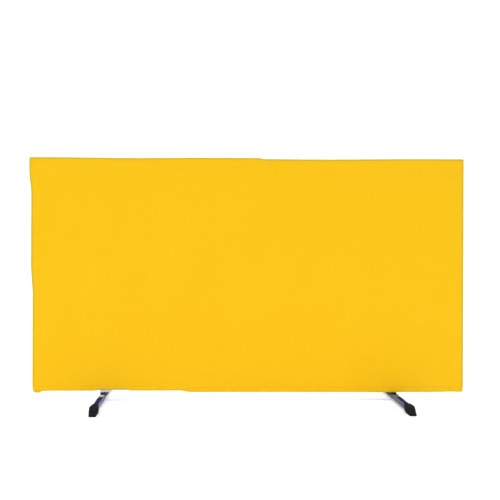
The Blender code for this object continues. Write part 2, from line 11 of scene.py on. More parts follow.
import bmesh
import bpy
import numpy as np
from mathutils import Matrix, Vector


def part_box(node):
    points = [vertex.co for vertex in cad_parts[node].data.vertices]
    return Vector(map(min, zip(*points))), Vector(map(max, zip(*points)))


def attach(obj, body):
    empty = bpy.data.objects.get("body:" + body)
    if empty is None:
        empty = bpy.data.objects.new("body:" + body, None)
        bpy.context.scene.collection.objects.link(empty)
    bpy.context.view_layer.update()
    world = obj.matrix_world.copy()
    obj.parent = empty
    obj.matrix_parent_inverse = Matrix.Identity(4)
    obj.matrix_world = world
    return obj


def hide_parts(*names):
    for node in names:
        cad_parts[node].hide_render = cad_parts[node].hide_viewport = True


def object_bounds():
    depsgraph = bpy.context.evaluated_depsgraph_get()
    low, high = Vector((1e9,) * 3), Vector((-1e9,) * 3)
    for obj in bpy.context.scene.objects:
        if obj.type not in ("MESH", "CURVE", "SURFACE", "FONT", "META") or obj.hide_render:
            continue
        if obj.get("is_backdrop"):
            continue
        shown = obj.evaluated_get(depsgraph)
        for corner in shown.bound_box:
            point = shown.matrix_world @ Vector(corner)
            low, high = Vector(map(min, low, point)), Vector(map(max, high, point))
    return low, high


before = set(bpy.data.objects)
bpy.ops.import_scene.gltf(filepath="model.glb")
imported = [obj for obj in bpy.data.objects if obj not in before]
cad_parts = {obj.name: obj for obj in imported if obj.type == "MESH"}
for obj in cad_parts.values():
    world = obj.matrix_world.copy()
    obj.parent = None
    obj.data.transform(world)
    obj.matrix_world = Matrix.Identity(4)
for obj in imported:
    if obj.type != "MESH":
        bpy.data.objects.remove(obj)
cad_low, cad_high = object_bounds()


def add_object(name, data):
    """A new object in the scene, for a mesh, a light or a camera."""
    made = bpy.data.objects.new(name, data)
    bpy.context.scene.collection.objects.link(made)
    return made


# %% [markdown]
# ## The camera
# The photograph shows the barrier from the front, a little over two metres away and at about half a metre's
# height: the tops of the feet can be seen, but not the top of the sleeve. Its upright edges stay upright, so
# the camera looks level, and a small lens shift moves the picture instead of a tilt. The picture is turned by
# a fraction of a degree, and so is the camera. The Standard view transform shows a colour as it is, so the
# yellow stays strong.

# %% Place the camera
CAMERA_PLACE = (-0.1408, -2.0469, 0.5217)
CAMERA_LENS = 45.09
CAMERA_SHIFT = (0.0578, -0.0196)
CAMERA_ROLL = math.radians(-0.2)
CAMERA_TURN = math.radians(-1.33)

camera_data = bpy.data.cameras.new("photo_camera")
camera_data.sensor_width = 36.0
camera_data.lens = CAMERA_LENS
camera_data.shift_x, camera_data.shift_y = CAMERA_SHIFT
camera_data.dof.use_dof = False
camera = add_object("photo_camera", camera_data)
camera.location = CAMERA_PLACE
camera.rotation_euler = (math.pi / 2, CAMERA_ROLL, CAMERA_TURN)
bpy.context.scene.camera = camera
bpy.context.scene.view_settings.view_transform = "Standard"
print("camera:", CAMERA_LENS, "mm lens at", CAMERA_PLACE)

# %% [markdown]
# ## Tools for making surfaces
# Every new piece is a grid: rows and columns of points that a formula places, joined into four-sided faces. A
# ramp that starts and ends level fades one effect into another. Lengths that must line up with the frame are
# read from its pieces, so nothing is fitted by eye.

# %% Ramps, rows and sizes read from the frame
def ramp(value, start, end):
    """0 before start and 1 after end, with a cubic between them that is level at both: 3s^2 - 2s^3."""
    share = np.clip((np.asarray(value, float) - start) / (end - start), 0, 1)
    return share * share * (3 - 2 * share)


def plateau(value, height, start, full, fade, gone):
    """A ramp up to a height from start to full, and down again from fade to gone."""
    return height * ramp(value, start, full) * (1 - ramp(value, fade, gone))


def rows_through(breaks, spacing):
    """Numbers that pass through every break, evenly spaced in between and at most spacing apart."""
    runs = [
        np.linspace(near, far, max(math.ceil((far - near) / spacing), 1), endpoint=False)
        for near, far in zip(breaks, breaks[1:])
    ]
    return np.concatenate([*runs, breaks[-1:]])


def measured(node):
    """Lowest and highest corner of a piece of the frame."""
    return [[float(v) for v in corner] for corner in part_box(node)]


print("halfway up a ramp:", float(ramp(0.5, 0.0, 1.0)))


# %% Points, directions and grids
def as_points(*coordinates):
    """Arrays of coordinates, stretched to one shape and put together as points."""
    return np.stack(np.broadcast_arrays(*coordinates), axis=-1)


def unit(vectors):
    """Rows of vectors, each scaled to a length of 1."""
    return vectors / np.linalg.norm(vectors, axis=1, keepdims=True)


def outward_of(path):
    """Directions outward of a path in an upright plane along X: its own direction, turned a quarter turn."""
    direction = unit(np.gradient(path, axis=0))
    return as_points(-direction[:, 2], 0.0, direction[:, 0])


def grid_faces(rows, columns, closed=False):
    """Corner numbers of the quads between neighbours of a grid, round to its first column if it is closed."""
    row = columns * np.arange(rows - 1)[:, None]
    column = np.arange(columns if closed else columns - 1)
    following = (column + 1) % columns
    corners = row + column, row + following, row + columns + following, row + columns + column
    return as_points(*corners).reshape(-1, 4)


print("a 3 by 4 grid has", len(grid_faces(3, 4)), "faces")


# %% Pieces
def new_piece(name, points, faces, flat=None, caps=()):
    """A piece at the origin, from an array of points and one of faces. Points that no face uses are dropped.

    flat gives each point its place on the uncut cloth, which becomes the UV map "cut". caps are the end faces
    of a closed piece, which is inside out where its signed volume is negative, and gets turned.
    """
    used = np.unique(np.concatenate([faces.ravel(), *caps]))
    number = np.zeros(used[-1] + 1, int)
    number[used] = np.arange(len(used))
    corners = number[faces].tolist() + [number[cap].tolist() for cap in caps]
    mesh = bpy.data.meshes.new(name)
    mesh.from_pydata(points.reshape(-1, 3)[used].tolist(), [], corners)
    if flat is not None:
        corner = np.empty(len(mesh.loops), np.int32)
        mesh.loops.foreach_get("vertex_index", corner)
        places = flat.reshape(-1, 2)[used][corner]
        mesh.uv_layers.new(name="cut").data.foreach_set("uv", places.astype(np.float32).ravel())
    if caps:
        shape = bmesh.new()
        shape.from_mesh(mesh)
        if shape.calc_volume(signed=True) < 0:
            mesh.flip_normals()
        shape.free()
    mesh.shade_smooth()
    return add_object(name, mesh)


def closed_tube(name, rings, flat=None):
    """A piece made of rings of points, each joined to the next, with a cap on both ends."""
    count, sides = rings.shape[:2]
    around = np.arange(sides)
    caps = [around[::-1], around + (count - 1) * sides]
    return new_piece(name, rings, grid_faces(count, sides, closed=True), flat, caps)


def add_thickness(piece, thickness):
    """A Solidify modifier that gives a sheet half its thickness on each side, with closed edges."""
    modifier = piece.modifiers.new("thickness", "SOLIDIFY")
    modifier.thickness = thickness
    modifier.offset = 0.0
    return piece


print("piece tools ready")

# %% [markdown]
# ## How the sleeve hangs
# The sleeve is two sheets of coated cloth, sewn to a narrow band that runs up one side, over the top and down
# the other. At the foot both turn under the bottom rail, and their flaps are pressed together there with hook
# and loop tape. Around the feet the flaps are cut away. One formula places any point of a sheet from where it
# was on the flat cloth: how far from the middle, and how far down from the top edge. Stitches and seams ask
# the same formula, so they lie on the cloth whatever it does.

# %% Sizes of the sleeve, read from the frame
front_low, front_high = measured("cover_front")
back_low = measured("cover_back")[0]
rail_low, rail_high = measured("bottom_rail")
band_low, band_high = measured("right_side_band")

cloth = band_high[0] - band_low[0]
half_width = front_high[0]
cover_top = front_high[2] - cloth / 2
sheet_y = -front_low[1] - cloth / 2
tube_side = rail_high[2] - rail_low[2]
hem_edge = {-1: front_low[2], 1: back_low[2]}
flap_reach = {-1: front_high[1], 1: -back_low[1]}

NOTCH_EDGE = 0.006
PLACES = ("left", "middle", "right")
tape_boxes = [measured(place + "_hook_tape") for place in PLACES]
spans = [(low[0] - NOTCH_EDGE, high[0] + NOTCH_EDGE) for low, high in tape_boxes]
print("sheets", round(2 * half_width, 4), "wide, hems at", hem_edge, "flaps", np.round(spans, 3).tolist())

# %% [markdown]
# ## Slack, creases and puckers
# Stretched cloth is never quite flat. It dips a little inside the frame, draws faint creases out of its
# corners and puckers along each row of stitches, all by a millimetre or less. Each is its own small wave, and
# they are added up. The random phases come from a seeded generator, so each run gives the same cloth.

# %% Waves that add up to the relief of the cloth
SEAM_INSET = 0.0065
HEM_DEPTH = 0.0150
SINK = 0.0011
SWELL = 0.0010
CREASE = 0.00055
PUCKER, PUCKER_REACH = 0.00022, 0.0045
PUCKER_LENGTHS = (0.009, 0.0115, 0.0163)
DRAPE, DRAPE_HEIGHT, DRAPE_FADE = 0.00035, 0.03, 0.045
SHORT_DRAPE, LONG_DRAPE = 0.083, 0.131
STITCH_DIP, DIP_REACH = 0.00030, 0.0013
TURNED_UP = 0.0004
SLACK_BY, HEM_SLACK_BY = 0.075, 0.080
FREE_EDGE = (0.004, 0.020)


def broad_waves(seed, x, z):
    """Sum of fourteen sine waves in random directions, from 0.2 to 0.7 m long, scaled to about -1 to 1."""
    chance = np.random.default_rng(seed)
    total = np.zeros(np.broadcast(x, z).shape)
    for _ in range(14):
        heading = chance.uniform(-0.9, 0.9) + np.pi / 2 * chance.integers(0, 2)
        length = chance.uniform(0.20, 0.70)
        phase = chance.uniform(0, 2 * np.pi)
        total += np.sin(2 * np.pi * (x * np.cos(heading) + z * np.sin(heading)) / length + phase)
    return total / 5.0


def corner_creases(x, z, hem, seed):
    """Creases that fan out of each corner: a cosine of the angle about it, fading with the distance."""
    chance = np.random.default_rng(seed)
    total = np.zeros(np.broadcast(x, z).shape)
    for side in (-1, 1):
        for height in (cover_top, hem):
            across = half_width - side * x
            up = np.abs(z - height)
            distance = np.hypot(across, up)
            angle = np.arctan2(up, across)
            fade = np.exp(-distance / chance.uniform(0.09, 0.14)) * ramp(distance, 0.015, 0.05)
            total += fade * np.cos(chance.uniform(8, 11) * angle + chance.uniform(0, 6))
    return total


def puckers(along, off_line, seed):
    """Little waves along a row of stitches, 9 to 16 mm long, fading within a few millimetres of the row."""
    chance = np.random.default_rng(seed)
    wave = np.zeros(np.shape(along))
    for length in PUCKER_LENGTHS:
        wave += np.sin(2 * np.pi * along / length + chance.uniform(0, 6))
    return wave / 2.2 * np.exp(-((off_line / PUCKER_REACH) ** 2))


def relief(side, x, z):
    """How far a sheet stands outward of its flat place, in metres."""
    seed = 11 if side < 0 else 23
    hem = hem_edge[side]
    from_side, from_top, from_hem = half_width - np.abs(x), cover_top - z, z - hem
    inside = ramp(from_side, tube_side, SLACK_BY) * ramp(from_top, tube_side, SLACK_BY)
    inside *= ramp(from_hem, tube_side + 0.004, HEM_SLACK_BY)
    height = inside * (SWELL * broad_waves(seed, x, z) - SINK)
    free = ramp(from_side, *FREE_EDGE) * ramp(from_top, *FREE_EDGE)
    height += free * CREASE * corner_creases(x, z, hem, seed + 1)
    drape = np.sin(2 * np.pi * x / SHORT_DRAPE + 1.1) + np.sin(2 * np.pi * x / LONG_DRAPE + seed)
    height += free * DRAPE * drape * np.exp(-np.abs(from_hem - DRAPE_HEIGHT) / DRAPE_FADE)
    stitched = (x, from_hem - HEM_DEPTH), (x, from_top - SEAM_INSET), (z, from_side - SEAM_INSET)
    for number, (along, off_line) in enumerate(stitched):
        height += PUCKER * puckers(along, off_line, seed + 2 + number)
        height -= STITCH_DIP * np.exp(-((off_line / DIP_REACH) ** 2))
    return height + TURNED_UP * (1 - ramp(from_hem, HEM_DEPTH - 0.001, HEM_DEPTH + 0.0005))


print("relief in the middle of the front:", round(1000 * float(relief(-1, 0.0, 0.4)), 2), "mm")

# %% [markdown]
# ## Where the sleeve is loose
# In the photograph the sleeve doesn't follow its frame exactly. Its upper left corner stands about a
# centimetre wide of the frame and a little above it. The top edge drops a few millimetres just right of the
# middle. The hem rises beside the left foot, where the flap is cut away, and hangs a little lower beyond it.
# Each is a smooth shift of part of the sheet, so the cloth stays in one piece. Where the hem rises, the front
# flap rises with it, and the tapes above the flap are pressed thinner.

# %% Loose corner and wavy hem
# A step is its size and where it starts and ends. A plateau is its height, then start, full, fade and gone.
EAR_STEPS =((0.0054, 0.34, 0.45), (0.0067, 0.67, 0.745))
EAR_FADE = 0.16
EAR_RISE, EAR_RISE_FADE = 0.0018, 0.6
TOP_SWELL = (0.0034, -0.42, -0.12, 0.022, 0.058)
TOP_RISE, TOP_RISE_RAMP = 0.0034, (0.20, 0.60)
TOP_FADE = (0.58, 0.78)
BESIDE_FOOT = (-0.225, -0.195)
HEM_SAG, HEM_SAG_LOST, HEM_SAG_END = 0.0030, 0.3, (0.62, 0.69)
HEM_GROWTH, HEM_GROWTH_RAMP = 0.0013, (-0.1, 0.45)
HEM_RISE = (0.0024, -0.69, -0.64, *BESIDE_FOOT)
HEM_LIFT = (0.0038, -0.505, -0.485, -0.405, -0.378)
BACK_WAVE, BACK_WAVE_LENGTH = 0.0007, 0.41
PRESSED = 0.0015


def loose_corner(x, z):
    """Shift along X of the upper left corner: two soft steps up the edge, fading across the cloth."""
    width = sum(step * ramp(z, low, high) for step, low, high in EAR_STEPS)
    return -width * (1 - ramp(half_width + x, 0.0, EAR_FADE))


def raised_edge(x, z):
    """Rise of the top edge at the left corner, left of the middle and to the right, fading downwards."""
    corner = EAR_RISE * (1 - ramp(half_width + x, 0.0, EAR_RISE_FADE))
    return ramp(z, *TOP_FADE) * (corner + plateau(x, *TOP_SWELL) + TOP_RISE * ramp(x, *TOP_RISE_RAMP))


def hem_shift(side, x):
    """How far the foot of a sheet hangs below its straight line, less where it is lifted."""
    if side > 0:
        return BACK_WAVE * np.sin(2 * np.pi * x / BACK_WAVE_LENGTH + 0.6)
    sag = HEM_SAG * ramp(x, *BESIDE_FOOT) * (1 - HEM_SAG_LOST * ramp(x, *HEM_SAG_END))
    sag += HEM_GROWTH * ramp(x, *HEM_GROWTH_RAMP)
    return sag - plateau(x, *HEM_RISE) - plateau(x, *HEM_LIFT)


def pressed_up(side, x):
    """How far the whole flap of a sheet rises with its hem: as the hem does, but no more than PRESSED."""
    return np.clip(-hem_shift(side, x), 0, PRESSED if side < 0 else 0)


print("the corner stands out", round(-1000 * float(loose_corner(-half_width, cover_top)), 1), "mm")

# %% The formula of a sheet
FOLD_RADIUS = 0.0014
TOP_CORNER = 0.0032
LEFT_CORNER = 0.0101
RIGHT_CORNER = 0.0040
CORNER_REACH = 0.03
FLAP_FADE = 0.005
PRESSED_FADE = 0.0006

fold_start = {side: hem_edge[side] + cloth / 2 + FOLD_RADIUS for side in (-1, 1)}
fold_length = FOLD_RADIUS * np.pi / 2
straight = {side: cover_top - fold_start[side] for side in (-1, 1)}
flap_length = {side: sheet_y - FOLD_RADIUS + flap_reach[side] for side in (-1, 1)}
cut_length = {side: straight[side] + fold_length + flap_length[side] for side in (-1, 1)}


def in_flap(x):
    """1 where a sheet has a flap to turn under the rail, 0 in the notches and at the ends."""
    return np.any([(x >= start - 1e-6) & (x <= end + 1e-6) for start, end in spans], axis=0).astype(float)


def corner_width(z, hem, bottom):
    """Half the sheet's width at a height: full, less a quarter circle at the top and one of radius bottom."""
    into_top = np.clip(TOP_CORNER - (cover_top - z), 0, TOP_CORNER)
    into_bottom = np.clip(bottom - (z - hem), 0, bottom)
    lost = TOP_CORNER - np.sqrt(TOP_CORNER**2 - into_top**2)
    return half_width - lost - bottom + np.sqrt(bottom**2 - into_bottom**2)


def sheet_surface(side, across, down):
    """Place of each point of a sheet, side -1 for the front and 1 for the back.

    Straight down from the top edge, then a quarter circle inward, then level under the rail. Where there is
    no flap it goes on down to the hem's edge. The corners are rounded by drawing the last 30 mm of cloth
    inward. Then the relief is added outward, and the loose corner and the hem's shift are added in the plane.
    The shift fades along the flap, over 5 mm where the hem hangs low and sooner where it rises.
    """
    across, down = np.broadcast_arrays(np.asarray(across, float), np.asarray(down, float))
    flap = in_flap(across)
    past_straight = np.maximum(down - straight[side], 0)
    turn = np.minimum(past_straight / FOLD_RADIUS, np.pi / 2)
    under = np.maximum(past_straight - fold_length, 0)
    plain_drop = np.minimum(past_straight / fold_length, 1) * (fold_start[side] - hem_edge[side])
    level = cover_top - np.minimum(down, straight[side])
    z = level - flap * FOLD_RADIUS * np.sin(turn) - (1 - flap) * plain_drop
    inward = flap * (FOLD_RADIUS * (1 - np.cos(turn)) + under)
    lost = half_width - corner_width(z, hem_edge[side], np.where(across < 0, LEFT_CORNER, RIGHT_CORNER))
    x = across - np.sign(across) * lost * ramp(np.abs(across), half_width - CORNER_REACH, half_width)
    hanging = np.exp(-under / FLAP_FADE)
    outward = relief(side, x, z) * hanging * (1 - flap * ramp(past_straight, 0, fold_length))
    near_hem = 1 - ramp(z, 0.04, 0.15)
    held = pressed_up(side, x)
    fading = np.where(held > 0, np.exp(-under / PRESSED_FADE), hanging)
    z = z - (hem_shift(side, x) + held) * near_hem * fading + held * near_hem
    return as_points(x + loose_corner(x, z), side * (sheet_y + outward - inward), z + raised_edge(x, z))


print("flat length of the front sheet:", round(cut_length[-1], 4), "m")

# %% [markdown]
# ## Cut the two sheets
# A sheet is the formula on a grid, whose rows and columns lie closer at the rounded corners, beside the rows
# of stitches and round the fold. The notches for the feet are cut by leaving out the faces there. The
# thickness comes from a Solidify modifier.

# %% Front and back sheets
SHEET_SPACING = 0.0068
BESIDE_STITCHES = np.array([-0.0028, -0.0014, 0.0, 0.0014, 0.0028])
BESIDE_NOTCH = 0.0001
TOP_ROWS = np.array([0.0, 0.0004, 0.0009, 0.0016, 0.0024, TOP_CORNER])
HEM_ROWS = np.array([0.0101, 0.0085, 0.0065, 0.0045, 0.0030])


def sheet_grid(side):
    """The columns across a sheet and the rows down it."""
    ends = np.array(spans).ravel()
    seams = half_width - SEAM_INSET + BESIDE_STITCHES
    hem = cover_top - hem_edge[side]
    fold = straight[side] + fold_length * np.linspace(0, 1, 5)
    columns = [-seams, seams, ends - BESIDE_NOTCH, ends, ends + BESIDE_NOTCH, [-half_width, half_width]]
    stitched = [SEAM_INSET + BESIDE_STITCHES, hem - HEM_DEPTH + BESIDE_STITCHES]
    rows = [TOP_ROWS, *stitched, hem - HEM_ROWS, fold, [cut_length[side]]]
    return [rows_through(np.unique(np.concatenate(breaks)), SHEET_SPACING) for breaks in (columns, rows)]


def make_sheet(name, side):
    """A sheet on its grid, without the faces of its notches and ends below the hem."""
    columns, rows = sheet_grid(side)
    down, across = np.meshgrid(rows, columns, indexing="ij")
    faces = grid_faces(len(rows), len(columns))
    beyond_hem = down.ravel()[faces].mean(axis=1) > straight[side] + fold_length
    kept = ~beyond_hem | (in_flap(across.ravel()[faces].mean(axis=1)) > 0)
    faces = faces[kept] if side < 0 else faces[kept][:, ::-1]
    flat = as_points(across, cut_length[side] - down)
    piece = new_piece(name, sheet_surface(side, across, down), faces, flat)
    print(name, len(piece.data.polygons), "faces")
    return add_thickness(piece, cloth)


front_sheet = make_sheet("front_sheet", -1)
back_sheet = make_sheet("back_sheet", 1)

# %% [markdown]
# ## The edge band and its seams
# The band is ruled between the edges of the two sheets: each row of it is a short line from one to the other,
# bowed slightly outward. So it meets both, also where the corner stands wide. The two seams are narrow rolls
# of folded cloth along its edges: a small circle carried along the same path.

# %% Edge band
BAND_LIFT = 0.0003
BAND_BOW = 0.0010
EDGE_SPACING = 0.006
BELOW_CORNER = 0.04
band_start = band_low[2] + BAND_LIFT


def sheet_edge(side):
    """The sheet's edge: up its left side from the band's start, over the top and down its right side."""
    down = rows_through([*TOP_ROWS, BELOW_CORNER, cover_top - band_start], EDGE_SPACING)
    corner = half_width - CORNER_REACH
    over = rows_through([-half_width, -corner, corner, half_width], EDGE_SPACING)
    left = sheet_surface(side, -half_width, down[::-1])
    top = sheet_surface(side, over, 0.0)
    return np.concatenate([left, top[1:-1], sheet_surface(side, half_width, down)])


front_edge, back_edge = sheet_edge(-1), sheet_edge(1)
edge_step = np.linalg.norm(np.diff(front_edge, axis=0), axis=1)
edge_run = np.concatenate([[0.0], np.cumsum(edge_step)])
band_share = np.linspace(0, 1, 9)
bow = BAND_BOW * np.sin(np.pi * band_share) * (1 + 0.25 * np.sin(edge_run / 0.031))[:, None]
ruled = front_edge[:, None] * (1 - band_share)[:, None] + back_edge[:, None] * band_share[:, None]
band_points = ruled + bow[:, :, None] * outward_of((front_edge + back_edge) / 2)[:, None]
band_flat = as_points(edge_run[:, None], 2 * sheet_y * band_share)
edge_band = new_piece("edge_band", band_points, grid_faces(*bow.shape), band_flat)
add_thickness(edge_band, cloth)
print("edge band", round(float(edge_run[-1]), 3), "m long")

# %% Rolled seams along the band
SEAM_ROLL = 0.0011
SEAM_SIDES = 10
SEAM_ASIDE = 0.0002
SEAM_STEP = 0.0007


def make_seam(name, edge, side):
    """A round roll along one edge of the band, its radius wavering slightly as folded cloth does."""
    run = edge_run / edge_run[-1]
    waver = 1 + 0.08 * np.sin(run * 410) + 0.06 * np.sin(run * 233 + side)
    ends = ramp(run, 0, 0.001) * (1 - ramp(run, 0.999, 1.0))
    radius = (SEAM_ROLL * waver * (0.25 + 0.75 * ends))[:, None]
    turn = np.linspace(0, 2 * np.pi, SEAM_SIDES, endpoint=False)
    rings = edge[:, None] + (radius * np.cos(turn))[:, :, None] * outward_of(edge)[:, None]
    rings[:, :, 1] += side * SEAM_ASIDE + radius * np.sin(turn)
    return closed_tube(name, rings, as_points(edge_run[:, None], SEAM_STEP * np.arange(SEAM_SIDES)))


front_seam = make_seam("front_seam", front_edge, -1)
back_seam = make_seam("back_seam", back_edge, 1)
print("two rolled seams,", len(front_seam.data.polygons), "faces each")

# %% [markdown]
# ## Stitching
# Rows of lock stitches hold the seams, the turned-up hem and the tapes. A stitch is a short bead of thread:
# a circle whose radius follows a half ellipse along the stitch, arched so that both ends dip into the cloth.
# One bead is placed thousands of times by array arithmetic, along rows that are written on the flat cloth and
# carried to their places by the formula of the sheet.

# %% Rows of stitches on a sheet
STITCH_PITCH = 0.0042
STITCH_LENGTH = 0.0034
THREAD_RADIUS = 0.00032
BEAD_RINGS = np.array([-1.0, -0.55, 0.0, 0.55, 1.0])
BEAD_SIDES = 6
ASIDE = 0.0005
SIDE_ROW_END = 0.004
ROW_END = 0.002
FLAP_ROWS = (0.0022, 0.0138)


def stitch_row(start, end):
    """Centres of the stitches of a straight row on the flat cloth, and the row's direction."""
    start, end = np.array([start, end])
    length = np.linalg.norm(end - start)
    places = np.arange(STITCH_PITCH / 2, length, STITCH_PITCH)
    heading = (end - start) / length
    return start + places[:, None] * heading, np.tile(heading, (len(places), 1))


def make_stitches(name, side, rows):
    """Every stitch of the rows as one piece: beads along the row, lifted along the sheet's own normal."""
    centres, headings = [np.concatenate(arrays) for arrays in zip(*rows)]
    half = headings * STITCH_LENGTH / 2
    beside = centres + headings[:, ::-1] * (ASIDE, -ASIDE)
    before, after, middle, aside = [
        sheet_surface(side, *places.T) for places in (centres - half, centres + half, centres, beside)
    ]
    along = unit(after - before)
    normal = unit(np.cross(along, aside - middle))
    normal *= np.sign(normal @ (0.0, 0.5 * side, -0.5))[:, None]
    axes = np.stack([along, np.cross(normal, along), normal], axis=1)

    turn = np.linspace(0, 2 * np.pi, BEAD_SIDES, endpoint=False)
    ring = BEAD_RINGS[:, None]
    radius = THREAD_RADIUS * np.sqrt(1 - 0.75 * ring**2)
    lift = cloth / 2 + THREAD_RADIUS * (0.55 - 1.5 * ring**2)
    bead = as_points(ring * STITCH_LENGTH / 2, radius * np.cos(turn), radius * np.sin(turn) + lift)
    points = middle[:, None, None] + bead @ axes[:, None]

    first = np.arange(len(centres))[:, None] * ring.size * BEAD_SIDES
    faces = grid_faces(ring.size, BEAD_SIDES, closed=True) + first[:, :, None]
    around = np.arange(BEAD_SIDES)
    caps = [*(first + around[::-1]), *(first + around + (ring.size - 1) * BEAD_SIDES)]
    print(name, len(centres), "stitches")
    return new_piece(name, points, faces.reshape(-1, 4), caps=caps)


def sheet_rows(side):
    """Rows beside the three sewn edges, one along the hem and two along each flap."""
    inset = half_width - SEAM_INSET
    hem = cover_top - hem_edge[side] - HEM_DEPTH
    low = cover_top - band_start - SIDE_ROW_END
    corners = [(-inset, low), (-inset, SEAM_INSET), (inset, SEAM_INSET), (inset, low)]
    rows = [*zip(corners, corners[1:]), ((ROW_END - inset, hem), (inset - ROW_END, hem))]
    for start, end in spans:
        for from_free_edge in FLAP_ROWS:
            down = cut_length[side] - from_free_edge
            rows.append(((start + NOTCH_EDGE + ROW_END, down), (end - NOTCH_EDGE - ROW_END, down)))
    return [stitch_row(*row) for row in rows]


front_stitching = make_stitches("front_stitching", -1, sheet_rows(-1))
back_stitching = make_stitches("back_stitching", 1, sheet_rows(1))

# %% [markdown]
# ## Hook and loop tapes
# Under the rail, each pair of flaps is closed by a strip of hook tape on the front flap and one of loop tape
# on the back flap. They are under a millimetre thick, with a flat selvedge at both edges. The pile between
# the selvedges stands a little higher, and ripples slightly along the strip.

# %% Tapes
TAPE_SPACING = 0.004
SELVEDGE = np.array([0.0, 0.0012, 0.0016])
roof = hem_edge[1]
room = roof - hem_edge[-1] - cloth


def make_tape(name, node, phase):
    """A strip in the space of one tape of the frame, its pile thicker than its selvedges.

    Where the front flap is pressed up, heights are scaled towards the back flap above the tapes.
    """
    low, high = measured(node)
    x = rows_through([low[0], high[0]], TAPE_SPACING)[:, None]
    steps = high[1] - SELVEDGE
    y = np.concatenate([-steps, [0.0], steps[::-1]])
    pile = 0.75 + 0.25 * ramp(high[1] - np.abs(y), SELVEDGE[1], SELVEDGE[2])
    half = (high[2] - low[2]) / 2 * pile * (1 - 0.06 * (1 + np.sin(x / 0.0031 + phase)))
    middle = (low[2] + high[2]) / 2
    top, bottom = as_points(x, y, middle + half), as_points(x, y, middle - half)
    rings = np.concatenate([top, bottom[:, ::-1]], axis=1)
    left_over = 1 - pressed_up(-1, rings[:, :, 0]) / room
    rings[:, :, 2] = roof - (roof - rings[:, :, 2]) * left_over
    return closed_tube(name, rings)


tapes = {}
for place in PLACES:
    for kind, phase in (("hook", 0.0), ("loop", 2.0)):
        node = f"{place}_{kind}_tape"
        tapes[node] = make_tape(f"{place}_{kind}_strip", node, phase)
print(len(tapes), "strips of tape")

# %% [markdown]
# ## Rubber shoes
# Each end of a foot is pushed into a moulded rubber shoe. Seen from above it swells from the mouth to a belly
# and narrows to a blunt nose. From the side it runs level over the tube and then falls to the nose. Across,
# it has a flat sole, upright sides and rounded shoulders. All are curves of the distance from the mouth, so
# the shoe is one grid: sections that go round it, from the floor of its socket out over the lip to the nose.

# %% Curves of a shoe
BELLY_REACH = 0.019
LEVEL_LENGTH = 0.024
NOSE_HALF_WIDTH = 0.0095
NOSE_HEIGHT = 0.0075
NOSE_ROUND = 0.0022
SOCKET_DEPTH = 0.022
SOCKET_FIT = 0.0003
MOUTH_WALL = 0.002

shoe_low, shoe_high = measured("right_front_shoe")
arm_low, arm_high = measured("right_foot_arm")
foot_x = (arm_low[0] + arm_high[0]) / 2
shoe_length = shoe_high[1] - shoe_low[1]
shoe_belly = (shoe_high[0] - shoe_low[0]) / 2
shoe_top = shoe_high[2]
mouth_y = -shoe_low[1] - shoe_length
socket_half = (arm_high[0] - arm_low[0]) / 2 + SOCKET_FIT


def eased(start, end, share):
    """From start to end along half a cosine wave."""
    return start + (end - start) * (1 - np.cos(np.pi * np.clip(share, 0, 1))) / 2


def shoe_half_width(reach):
    """Half width at a distance from the mouth: eased up to the belly, then a quarter cosine to the nose."""
    swelling = eased(socket_half + MOUTH_WALL, shoe_belly, reach / BELLY_REACH)
    share = np.clip((reach - BELLY_REACH) / (shoe_length - BELLY_REACH), 0, 1)
    narrowing = NOSE_HALF_WIDTH + (shoe_belly - NOSE_HALF_WIDTH) * np.cos(np.pi / 2 * share)
    return np.where(reach < BELLY_REACH, swelling, narrowing)


def shoe_height(reach):
    """Height at a distance from the mouth: level over the tube, then eased down to the nose."""
    return eased(shoe_top, NOSE_HEIGHT, (reach - LEVEL_LENGTH) / (shoe_length - LEVEL_LENGTH))


print("shoe", round(1000 * shoe_length), "mm long,", round(2000 * shoe_belly), "mm wide")

# %% Sections of a shoe
SOLE_ROUND = 0.0015
SHOULDER_SHARE = 0.6
CROWN_SHARE = 0.4
MOUTH_SQUARENESS = 4
NOSE_SQUARENESS = 2.2
GROOVE_WIDTH = 0.002
GROOVE_DEPTH = 0.0012
GROOVES = 0.014 + 0.009 * np.arange(4)
COLLAR = 0.0005
COLLAR_LENGTH = 0.0045
COLLAR_EDGE = 0.0006
TUCK, TUCK_HEIGHT, TUCK_FADE = 0.0030, 0.0075, (0.026, 0.050)
HEEL_RISE, HEEL_LENGTH = 0.0026, 0.008
SIDE_STEPS, SHOULDER_STEPS, ARC_STEPS, FLAT_STEPS = 5, 16, 5, 4


